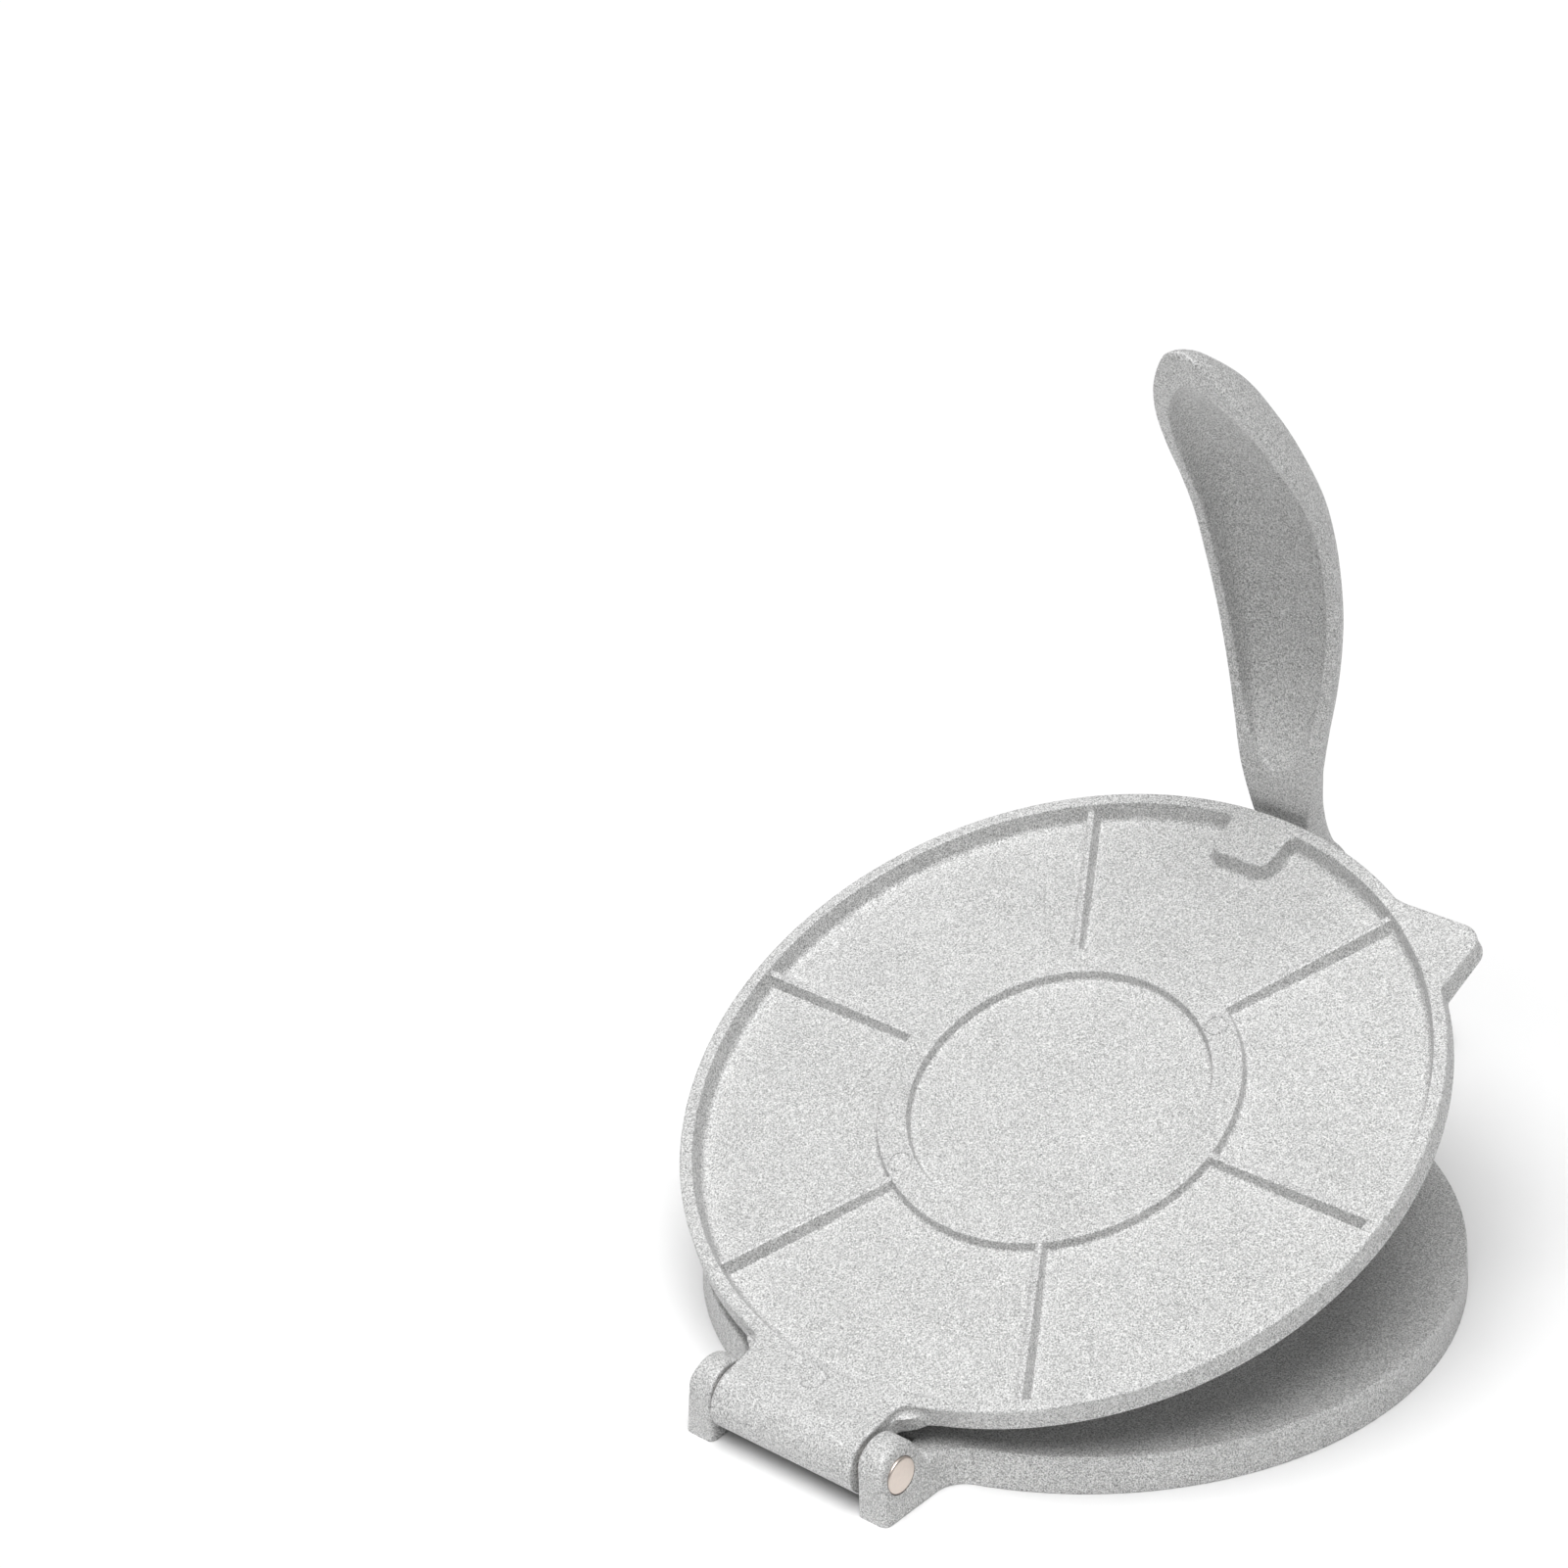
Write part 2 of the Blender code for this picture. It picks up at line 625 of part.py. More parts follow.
def make_plate(frame, hinge, material, pieces, tools):
    """The pressing plate: turned dish with ring and ribs, pad, lifting tab, web and hinge barrel."""
    body = turned("top_plate", plate_profile(), TURN_STEPS, frame, pieces)
    plate = Casting(body, material, tools)
    top = PLATE_BOTTOM + PLATE_THICKNESS - JOIN_STEP
    bottom = PLATE_BOTTOM + JOIN_STEP
    for number, angle in enumerate(RIB_ANGLES):
        plate.join(plate_rib(f"plate_rib_{number + 1}", angle))
    pad = ((0, PLATE_BOTTOM + PLATE_FLOOR / 2), (PLATE_DRAFT, top - PLATE_EDGE / 2), (PLATE_DRAFT + PLATE_EDGE, top))
    plate.join(drafted("pad", pad_outline, pad))
    levels = (
        (PLATE_EDGE, bottom),
        (0, bottom + PLATE_EDGE),
        (PLATE_DRAFT, top - PLATE_EDGE),
        (PLATE_DRAFT + PLATE_EDGE, top),
    )
    plate.join(drafted("lifting_tab", tab_outline, levels))
    plate.join(drafted("hinge_web", web_outline, levels))
    axis = (0, HINGE_REACH, HINGE_HEIGHT)
    plate.join(rod("hinge_barrel", BARREL_RADIUS, BARREL_HALF_LENGTH, axis))
    plate.cut(rod("barrel_bore", HINGE_PIN_RADIUS + PIN_GAP, BARREL_HALF_LENGTH + OVERRUN, axis))
    plate.finish()
    body.data.transform(Matrix.Translation((0, -HINGE_REACH, -HINGE_HEIGHT)))
    body.parent = hinge
    return body


def smooth_share(shares, at):
    """Smooth values at the places `at` through rows of (place, value, value, ...)."""
    table = np.array(shares)
    places = table[:, 0]
    values = table[:, 1:]
    slopes = np.gradient(values, places, axis=0)
    row = np.clip(np.searchsorted(places, at, side="right") - 1, 0, len(places) - 2)
    step = (places[row + 1] - places[row])[:, None]
    t = (at - places[row])[:, None] / step
    start = (1 + 2 * t) * (1 - t) ** 2 * values[row] + t * (1 - t) ** 2 * step * slopes[row]
    end = t**2 * (3 - 2 * t) * values[row + 1] - t**2 * (1 - t) * step * slopes[row + 1]
    return start + end


def grip_ring(rise, lean, half_width, depth, hollow, boxy):
    """One level section of the grip: round back, flat rim and the hollow that faces the plate."""
    power = 2 / (2 + 2 * boxy)
    ring = []
    for angle in np.linspace(0, math.pi, BACK_STEPS + 1):
        x = half_width * math.copysign(abs(math.cos(angle)) ** power, math.cos(angle))
        ring.append((x, lean - depth * math.sin(angle) ** power, rise))
    open_width = max(hollow, half_width / 3)
    floor = max(depth - GRIP_WALL, 0) * min(1, 2 * hollow / HOLLOW_HALF_WIDTH)
    for share in np.linspace(-1, 1, HOLLOW_STEPS + 1):
        ring.append((open_width * share, lean - floor * math.sqrt(1 - share**4), rise))
    return ring


def grip_mesh():
    """The grip as a loft of level sections from the neck to the tip, about the lever's pivot."""
    places = (1 - np.cos(np.linspace(0, math.pi, GRIP_RINGS))) / 2
    sizes = np.array((GRIP_LEAN, GRIP_HALF_WIDTH, GRIP_DEPTH, HOLLOW_HALF_WIDTH))
    rows = smooth_share(GRIP_SHARES, places) * sizes
    rings = []
    for place_share, (lean, half_width, depth, hollow) in zip(places, rows):
        rise = GRIP_FOOT + place_share * (GRIP_TOP - GRIP_FOOT)
        boxy = max(0, 1 - place_share / GRIP_SHARES[3][0])
        rings.append(grip_ring(rise, lean, half_width, depth, max(hollow, 0), boxy))
    return loft("handle", rings)


def heel_point(reach):
    """A point of the heel's sole, which lies flat on the tongue when the lever leans right back."""
    drop = LEVER_HEIGHT - BASE_HEIGHT - SEAT_GAP
    turn = LEVER_SWING
    return (
        -reach * math.cos(turn) - drop * math.sin(turn),
        reach * math.sin(turn) - drop * math.cos(turn),
    )


def root_outline():
    """Side view of the lever's root: heel, arch over the ears, pivot boss, presser arm and neck."""
    inner = heel_point(HEEL_SOLE_INNER)
    sole = math.atan2(inner[1], inner[0]) % (2 * math.pi)
    arch = arc((0, 0), math.hypot(*inner), sole, math.radians(168), 4)
    boss = arc((0, 0), PIVOT_BOSS_RADIUS, math.radians(162), math.radians(380), 14)
    presser = [(PRESSER_REACH, PRESSER_RISE - PRESSER_SIDE / 3), (PRESSER_REACH, PRESSER_RISE + PRESSER_SIDE / 3)]
    front = [(y * HEEL_RADIUS, z * NECK_RISE) for y, z in ROOT_FRONT_SHARES]
    back = [(y * HEEL_RADIUS, z * NECK_RISE) for y, z in ROOT_BACK_SHARES]
    return arch + boss + presser + front + back + [heel_point(HEEL_SOLE_OUTER)]


def make_handle(pivot, material, pieces, tools):
    """The lever: hollow grip, neck, heel and thin web between the ears, and the presser bar."""
    handle = Casting(place("handle", grip_mesh(), pivot, pieces), material, tools)
    root_mesh = slab("lever_root", root_outline(), ROOT_HALF_WIDTH, ROOT_ROUNDING)
    root = Casting(handle.tool(root_mesh), material, tools)
    web = LEVER_EAR_INNER - SEAT_GAP
    cheek = (ROOT_HALF_WIDTH + OVERRUN - web) / 2
    for name, side in (("arch_right", 1), ("arch_left", -1)):
        root.cut(rod(name, ARCH_RADIUS, cheek, (side * (web + cheek), 0, 0), 2 * PIN_STEPS))
    handle.join(root.body)
    half = PRESSER_SIDE / 2
    presser = block(
        "presser",
        (-PRESSER_HALF_LENGTH, PRESSER_REACH - half, PRESSER_RISE - half),
        (PRESSER_HALF_LENGTH, PRESSER_REACH + half, PRESSER_RISE + half),
    )
    handle.join(rounded(handle.tool(presser), PRESSER_CHAMFER, 1))
    handle.cut(rod("handle_bore", LEVER_PIN_RADIUS + PIN_GAP, LEVER_EAR_INNER + OVERRUN, (0, 0, 0)))
    handle.finish()


def make_pin(name, radius, half_length, centre, frame, material, pieces):
    """A plain steel pin along X with chamfered ends."""
    profile = (
        (0, half_length),
        (radius - PIN_CHAMFER, half_length),
        (radius, half_length - PIN_CHAMFER),
        (radius, -half_length + PIN_CHAMFER),
        (radius - PIN_CHAMFER, -half_length),
        (0, -half_length),
    )
    pin = turned(name, profile, PIN_STEPS, frame, pieces)
    pin.location = centre
    pin.rotation_euler = (0, math.radians(90), 0)
    pin.data.materials.append(material)
    return pin


def empty(name, location, parent, collection):
    """An empty that carries pieces."""
    made = bpy.data.objects.new(name, None)
    collection.objects.link(made)
    made.location = location
    made.parent = parent
    return made


def main():
    """Builds the press with its plate open and its lever upright."""
    clear_scene()
    pieces = new_collection("tortilla_press")
    tools = new_collection("cutters")
    frame = empty("press_frame", (0, DISC_CENTRE_Y, 0), None, pieces)
    hinge = empty("plate_axis", (0, HINGE_REACH, HINGE_HEIGHT), frame, pieces)
    hinge.rotation_euler = (-PLATE_OPEN, 0, 0)
    pivot = empty("lever_axis", (0, -LEVER_REACH, LEVER_HEIGHT), frame, pieces)
    aluminium = (0.62, 0.62, 0.61)
    make_base(frame, metal("cast_base", aluminium, 0.45), pieces, tools)
    make_plate(frame, hinge, metal("cast_plate", aluminium, 0.42), pieces, tools)
    make_handle(pivot, metal("cast_handle", aluminium, 0.42), pieces, tools)
    hinge_centre = (0, HINGE_REACH, HINGE_HEIGHT)
    lever_centre = (0, -LEVER_REACH, LEVER_HEIGHT)
    steel = metal("steel_hinge_pin", (0.74, 0.66, 0.60), 0.35)
    make_pin("plate_hinge_pin", HINGE_PIN_RADIUS, HINGE_PIN_HALF_LENGTH, hinge_centre, frame, steel, pieces)
    steel = metal("steel_lever_pin", (0.66, 0.65, 0.63), 0.35)
    make_pin("handle_pivot_pin", LEVER_PIN_RADIUS, LEVER_PIN_HALF_LENGTH, lever_centre, frame, steel, pieces)


main()
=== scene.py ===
"""Tortilla press: the studio, the camera, the finishes and the fine cast surfaces.

Every length is in metres. Each casting is worked out as if the plate were closed, with the pressing
disc's centre at x = y = 0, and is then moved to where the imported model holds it.
"""

import json
import logging
import math
from dataclasses import dataclass
from enum import Enum

import bmesh
import bpy
import numpy as np
from mathutils import Matrix, Vector


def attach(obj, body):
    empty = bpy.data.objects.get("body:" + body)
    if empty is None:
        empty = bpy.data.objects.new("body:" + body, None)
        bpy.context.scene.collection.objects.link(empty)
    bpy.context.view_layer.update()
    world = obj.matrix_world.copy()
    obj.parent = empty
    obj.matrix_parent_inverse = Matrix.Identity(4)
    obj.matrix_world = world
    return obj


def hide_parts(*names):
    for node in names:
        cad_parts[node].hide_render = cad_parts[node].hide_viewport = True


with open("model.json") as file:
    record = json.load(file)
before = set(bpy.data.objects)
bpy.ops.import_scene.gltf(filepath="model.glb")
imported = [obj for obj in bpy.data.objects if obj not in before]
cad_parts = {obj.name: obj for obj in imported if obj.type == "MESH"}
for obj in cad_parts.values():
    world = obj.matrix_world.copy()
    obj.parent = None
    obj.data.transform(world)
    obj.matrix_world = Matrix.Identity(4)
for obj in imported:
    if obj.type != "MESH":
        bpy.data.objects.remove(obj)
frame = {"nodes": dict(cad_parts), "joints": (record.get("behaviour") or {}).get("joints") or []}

Array = np.ndarray
Colour = tuple[float, float, float]
Levels = list[tuple[float, float]]
Point = tuple[float, float, float]
Edges = tuple[float, float]
LOG = logging.getLogger("tortilla_press")

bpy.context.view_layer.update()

JOINTS = {joint["name"]: joint for joint in frame["joints"]}
HINGE = JOINTS["plate_hinge"]["pos_m"]
PIVOT = JOINTS["handle_pivot"]["pos_m"]
PLATE_OPEN = math.radians(-JOINTS["plate_hinge"]["range_deg"][0])
HINGE_REACH = 0.0915
DISC_CENTRE_Y = HINGE[1] - HINGE_REACH
HINGE_HEIGHT = HINGE[2]
LEVER_REACH = DISC_CENTRE_Y - PIVOT[1]
LEVER_HEIGHT = PIVOT[2]
QUARTER = math.pi / 2
MIRROR = np.array((-1, 1))
FAR_BELOW = -0.02
COLUMNS = 96
THROUGH = 0.04


class End(Enum):
    """How the first or the last row of a grid is closed; a joined grid's last row meets its first."""

    CAP = "cap"
    POLE = "pole"
    JOINED = "joined"


@dataclass
class Shell:
    """A closed surface: its points and the faces over them."""

    points: Array
    faces: list


def grid_shell(grid: Array, first: End = End.CAP, last: End = End.CAP) -> Shell:
    """Makes quads between neighbouring rows of a grid whose columns run round a loop.

    Args:
        grid: Points as (rows, columns, 3).
        first: How the first row is closed.
        last: How the last row is closed.

    Returns:
        The surface, with a flat cap or a pole where the ends ask for it.
    """
    rows, columns = grid.shape[:2]
    index = np.arange(rows * columns).reshape(rows, columns)
    if first is End.JOINED:
        index = np.vstack((index, index[:1]))
    ahead = np.roll(index, -1, axis=1)
    faces = np.stack((index[:-1], ahead[:-1], ahead[1:], index[1:]), axis=-1).reshape(-1, 4).tolist()
    points = grid.reshape(-1, 3)
    for end, row in ((first, index[0]), (last, index[-1])):
        if end is End.CAP:
            faces.append(row.tolist())
        elif end is End.POLE:
            tip = np.full(columns, len(points))
            faces += np.stack((row, np.roll(row, -1), tip), axis=-1).tolist()
            points = np.vstack((points, points[row].mean(axis=0)))
    return Shell(points, faces)


def merged(shells: list[Shell]) -> Shell:
    """Puts several shells into one list of points and faces.

    Args:
        shells: The shells, which may run into each other.

    Returns:
        All of them as one shell.
    """
    faces: list = []
    start = 0
    for shell in shells:
        faces += [[start + corner for corner in face] for face in shell.faces]
        start += len(shell.points)
    return Shell(np.vstack([shell.points for shell in shells]), faces)


def mesh_from(name: str, shell: Shell, crease: float = 50.0) -> bpy.types.Mesh:
    """Turns a shell into a smooth mesh whose faces point outwards.

    Args:
        name: The mesh's name.
        shell: Its points and faces.
        crease: Angle in degrees from which an edge stays sharp.

    Returns:
        The mesh.
    """
    mesh = bpy.data.meshes.new(name)
    mesh.from_pydata(shell.points.tolist(), [], shell.faces)
    form = bmesh.new()
    form.from_mesh(mesh)
    bmesh.ops.recalc_face_normals(form, faces=form.faces)
    form.to_mesh(mesh)
    form.free()
    mesh.shade_smooth()
    mesh.set_sharp_from_angle(angle=math.radians(crease))
    return mesh


def trimmed(shell: Shell, cutters: list[Shell]) -> Shell:
    """Cuts shells out of a shell with an exact Boolean.

    Args:
        shell: What is cut.
        cutters: What is taken away, one after the other.

    Returns:
        What is left.
    """
    scene = bpy.context.scene.collection
    body = bpy.data.objects.new("trimmed", mesh_from("trimmed", shell))
    scene.objects.link(body)
    tools = [bpy.data.objects.new("cutter", mesh_from("cutter", cutter)) for cutter in cutters]
    for tool in tools:
        scene.objects.link(tool)
        step = body.modifiers.new("cut", "BOOLEAN")
        step.operation = "DIFFERENCE"
        step.solver = "EXACT"
        step.object = tool
    bpy.context.view_layer.update()
    graph = bpy.context.evaluated_depsgraph_get()
    mesh = bpy.data.meshes.new_from_object(body.evaluated_get(graph))
    points = np.empty(3 * len(mesh.vertices))
    mesh.vertices.foreach_get("co", points)
    faces = [list(face.vertices) for face in mesh.polygons]
    for made in [body, *tools]:
        bpy.data.objects.remove(made, do_unlink=True)
    bpy.data.meshes.remove(mesh)
    return Shell(points.reshape(-1, 3), faces)


def arc(centre: tuple[float, float], radius: float, start: float, end: float, steps: int) -> Array:
    """Points on a circle's arc, both ends included: the centre plus the radius at each angle.

    Args:
        centre: The circle's centre.
        radius: Its radius.
        start: First angle, in radians.
        end: Last angle.
        steps: Number of steps between them.

    Returns:
        Points as (steps + 1, 2).
    """
    angle = np.linspace(start, end, steps + 1)
    return np.stack((centre[0] + radius * np.cos(angle), centre[1] + radius * np.sin(angle)), axis=-1)


def rounded(corners: list[tuple[float, float, float]], steps: int = 8) -> Array:
    """A closed outline with an arc at each corner, tangent to both of the corner's sides.

    The arc's centre lies on the corner's bisector, at radius / sin(half angle) from the corner.

    Args:
        corners: Each corner as (x, y, radius).
        steps: Steps in each arc.

    Returns:
        The outline's points, in the order of the corners.
    """
    at = np.array(corners)[:, :2]
    back = np.roll(at, 1, axis=0) - at
    ahead = np.roll(at, -1, axis=0) - at
    back /= np.linalg.norm(back, axis=1, keepdims=True)
    ahead /= np.linalg.norm(ahead, axis=1, keepdims=True)
    parts = []
    for corner, one, two, (_, _, radius) in zip(at, back, ahead, corners):
        half = math.acos(float(np.clip(one @ two, -1, 1))) / 2
        middle = (one + two) / np.linalg.norm(one + two)
        centre = corner + middle * radius / math.sin(half)
        start = corner + one * radius / math.tan(half) - centre
        sweep = math.pi - 2 * half
        turn = math.copysign(sweep, one[1] * two[0] - one[0] * two[1])
        first = math.atan2(start[1], start[0])
        parts.append(arc(tuple(centre), radius, first, first + turn, steps))
    return np.vstack(parts)


def outward(outline: Array) -> Array:
    """Normals of a closed outline, of the length that moves both of a corner's sides by one unit.

    The two sides' unit normals a and b give (a + b) / (1 + a . b), which is held to three units.

    Args:
        outline: Points as (n, 2).

    Returns:
        Normals as (n, 2).
    """
    ahead = np.roll(outline, -1, axis=0) - outline
    ahead = ahead / np.linalg.norm(ahead, axis=1, keepdims=True)
    following = np.roll(outline, -1, axis=0)
    area = np.sum(outline[:, 0] * following[:, 1] - outline[:, 1] * following[:, 0])
    after = np.stack((ahead[:, 1], -ahead[:, 0]), axis=-1) * np.sign(area)
    before = np.roll(after, 1, axis=0)
    return (after + before) / np.maximum(1 + np.sum(after * before, axis=1, keepdims=True), 2 / 3)


def carried(outline: Array, levels: Levels) -> Array:
    """Carries a wall's profile round an outline: at each level the outline is drawn in by its inset.

    Args:
        outline: Points as (n, 2).
        levels: Each level as (inset, height).

    Returns:
        Grid of (x, y, height) as (levels, n, 3).
    """
    inset, height = np.array(levels).T
    flat = outline[None] - outward(outline)[None] * inset[:, None, None]
    tall = np.broadcast_to(height[:, None, None], (len(levels), len(outline), 1))
    return np.concatenate((flat, tall), axis=-1)


def crest(top: float, radius: float, inset: float = 0.0, steps: int = 5) -> Levels:
    """Levels of a rounded upper edge: a quarter circle from the wall to the top face.

    Args:
        top: Height of the face.
        radius: Radius of the edge.
        inset: Inset of the wall below the edge.
        steps: Steps in the quarter circle.

    Returns:
        Levels from the wall inwards, with one more ring on the face to hold it flat.
    """
    turns = [QUARTER * step / steps for step in range(steps + 1)]
    levels = [(inset + radius * (1 - math.cos(a)), top - radius * (1 - math.sin(a))) for a in turns]
    return levels + [(inset + 1.1 * radius, top)]


def upside_down(levels: Levels, middle: float) -> Levels:
    """Mirrors levels about a height and puts them in rising order.

    Args:
        levels: Levels in rising order.
        middle: The height of the mirror.

    Returns:
        The mirrored levels.
    """
    return [(inset, 2 * middle - height) for inset, height in reversed(levels)]


def side_on(grid: Array) -> Array:
    """Takes a grid of (y, z, x) to (x, y, z)."""
    return grid[..., [2, 0, 1]]


def between(one: Array, two: Array, steps: int) -> Array:
    """Points on a straight stretch, without its ends."""
    return one + (two - one) * np.linspace(0, 1, steps + 1)[1:-1, None]


def turned(grid: Array, angle: float) -> Array:
    """Turns a grid about Z.

    Args:
        grid: Points as (rows, columns, 3).
        angle: The angle, in radians.

    Returns:
        The turned points.
    """
    cosine, sine = math.cos(angle), math.sin(angle)
    x, y = grid[..., 0] * cosine - grid[..., 1] * sine, grid[..., 0] * sine + grid[..., 1] * cosine
    return np.stack((x, y, grid[..., 2]), axis=-1)


def lathe(profile: Array, columns: int) -> Array:
    """Turns a profile of (radius, height) about Z: each point goes once round a circle.

    Args:
        profile: Points as (rows, 2).
        columns: Points on each circle.

    Returns:
        Grid as (rows, columns, 3).
    """
    angle = np.linspace(0, 2 * math.pi, columns, endpoint=False)
    radius, height = profile[:, :1], profile[:, 1:]
    flat = (radius * np.cos(angle), radius * np.sin(angle), height + 0 * angle)
    return np.stack(flat, axis=-1)


def smooth_max(one: Array, two: Array, blend: float) -> Array:
    """The larger of two heights, with a fillet of about that size where they cross.

    With s = clip(1/2 + (one - two) / (2 blend)), it is the mix of both by s plus blend s (1 - s).

    Args:
        one: First heights.
        two: Second heights.
        blend: Size of the fillet.

    Returns:
        The blended heights.
    """
    share = np.clip(0.5 + 0.5 * (one - two) / blend, 0, 1)
    return two + (one - two) * share + blend * share * (1 - share)


def opened(points: Array) -> Array:
    """Turns points of the closed plate about the hinge's axis to where the plate stands open.

    With a the angle, y' = c (y - h) + s (z - k) + h and z' = c (z - k) - s (y - h) + k.

    Args:
        points: Points as (n, 3), with the disc's centre at y = 0.

    Returns:
        The turned points.
    """
    cosine, sine = math.cos(PLATE_OPEN), math.sin(PLATE_OPEN)
    back = points[:, 1] - HINGE_REACH
    up = points[:, 2] - HINGE_HEIGHT
    y = HINGE_REACH + back * cosine + up * sine
    z = HINGE_HEIGHT - back * sine + up * cosine
    return np.stack((points[:, 0], y, z), axis=-1)


class NodeTree:
    """A new material, with short calls that add nodes to it."""

    def __init__(self, name: str) -> None:
        """Makes the material, whose shader is at hand from the start."""
        self.material = bpy.data.materials.new(name)
        self.material.use_nodes = True
        self.shader = self.material.node_tree.nodes["Principled BSDF"]

    def feed(self, node: bpy.types.Node, inputs: dict) -> None:
        """Sets a node's inputs.

        Args:
            node: The node.
            inputs: For each input's name or number, a constant or the socket that feeds it.
        """
        for name, value in inputs.items():
            if isinstance(value, bpy.types.NodeSocket):
                self.material.node_tree.links.new(value, node.inputs[name])
            else:
                node.inputs[name].default_value = value

    def add(self, kind: str, inputs: dict, output: int | str = 0, **settings: str) -> bpy.types.NodeSocket:
        """Adds a node.

        Args:
            kind: The node's type, without the words that all shader nodes share.
            inputs: Its inputs, as feed takes them.
            output: The output that is wanted.
            settings: Properties of the node.

        Returns:
            The node's output.
        """
        node = self.material.node_tree.nodes.new("ShaderNode" + kind)
        for name, value in settings.items():
            setattr(node, name, value)
        self.feed(node, inputs)
        return node.outputs[output]

    def surface(
        self, metallic: float, colours: tuple[Colour, Colour], share: bpy.types.NodeSocket,
        tone: bpy.types.NodeSocket, rough: tuple[float, float], bump: float,
    ) -> bpy.types.Material:
        """Feeds the shader from one pattern.

        Args:
            metallic: How metallic the surface is.
            colours: The colours where the share is 0 and 1.
            share: Mixes the two colours.
            tone: The pattern of the roughness and the relief.
            rough: The roughness where the tone is 0 and 1.
            bump: Height of the relief.

        Returns:
            The material.
        """
        dark, light = ((*colour, 1) for colour in colours)
        mixed = {"A": dark, "B": light, "Factor": share}
        self.feed(self.shader, {
            "Metallic": metallic,
            "Base Color": self.add("Mix", mixed, "Result", data_type="RGBA"),
            "Roughness": self.add("MapRange", {"Value": tone, "To Min": rough[0], "To Max": rough[1]}),
            "Normal": self.add("Bump", {"Distance": bump, "Height": tone}),
        })
        return self.material


@dataclass(frozen=True)
class CastFinish:
    """Matte cast aluminium: a fine grain with sparkling flecks over slow clouds of tone."""

    name: str
    dark: Colour
    light: Colour
    roughness: float = 0.42
    rough_reach: float = 0.10
    metallic: float = 0.06
    grain_scale: float = 3600.0
    grain_range: tuple[float, float] = (0.30, 0.70)
    fleck_scale: float = 3240.0
    fleck_range: tuple[float, float] = (0.25, 0.95)
    sparkle_range: tuple[float, float] = (-0.18, 0.30)
    cloud_scale: float = 45.0
    cloud_share: float = 0.16
    bump: float = 0.00007

    def material(self) -> bpy.types.Material:
        """Builds the node material.

        Returns:
            The material, on Object coordinates.
        """
        tree = NodeTree(self.name)
        place = tree.add("TexCoord", {}, "Object")
        grain = tree.add("TexNoise", {"Vector": place, "Scale": self.grain_scale, "Detail": 2.0}, "Fac")
        fleck = tree.add("TexVoronoi", {"Vector": place, "Scale": self.fleck_scale}, "Color")
        cloud = tree.add("TexNoise", {"Vector": place, "Scale": self.cloud_scale, "Detail": 3.0}, "Fac")
        low, high = self.grain_range
        spread = tree.add("MapRange", {"Value": grain, "From Min": low, "From Max": high})
        (low, high), (dim, bright) = self.fleck_range, self.sparkle_range
        levels = {"Value": fleck, "From Min": low, "From Max": high, "To Min": dim, "To Max": bright}
        tone = tree.add("Math", {0: spread, 1: tree.add("MapRange", levels)}, operation="ADD")
        share = tree.add("Math", {0: cloud, 1: self.cloud_share, 2: tone}, operation="MULTIPLY_ADD")
        rough = (self.roughness + self.rough_reach, self.roughness - self.rough_reach)
        return tree.surface(self.metallic, (self.dark, self.light), share, tone, rough, self.bump)


@dataclass(frozen=True)
class SteelFinish:
    """Plain steel with fine scratches and a slightly warm tone."""

    name: str
    dark: Colour
    light: Colour
    roughness: tuple[float, float] = (0.28, 0.46)
    metallic: float = 0.85
    scratch_scale: float = 1400.0
    bump: float = 0.00002

    def material(self) -> bpy.types.Material:
        """Builds the node material.

        Returns:
            The material, on Object coordinates.
        """
        tree = NodeTree(self.name)
        place = tree.add("TexCoord", {}, "Object")
        scratch = tree.add("TexNoise", {"Vector": place, "Scale": self.scratch_scale, "Detail": 3.0}, "Fac")
        return tree.surface(
            self.metallic, (self.dark, self.light), scratch, scratch, self.roughness, self.bump
        )


def add_piece(name: str, shell: Shell, finish: bpy.types.Material, body: str, node: str) -> None:
    """Adds a finished piece: it rides on its body and stands for its node.

    Args:
        name: The piece's name.
        shell: Its surface, about the disc's centre.
        finish: Its material.
        body: The body that carries it.
        node: The node that it replaces.
    """
    mesh = mesh_from(name, Shell(shell.points + np.array((0, DISC_CENTRE_Y, 0)), shell.faces))
    mesh.materials.append(finish)
    made = bpy.data.objects.new(name, mesh)
    bpy.context.scene.collection.objects.link(made)
    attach(made, body)
    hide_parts(node)
    LOG.info("%s: %d points, %d faces, rides on %s", name, len(mesh.vertices), len(mesh.polygons), body)


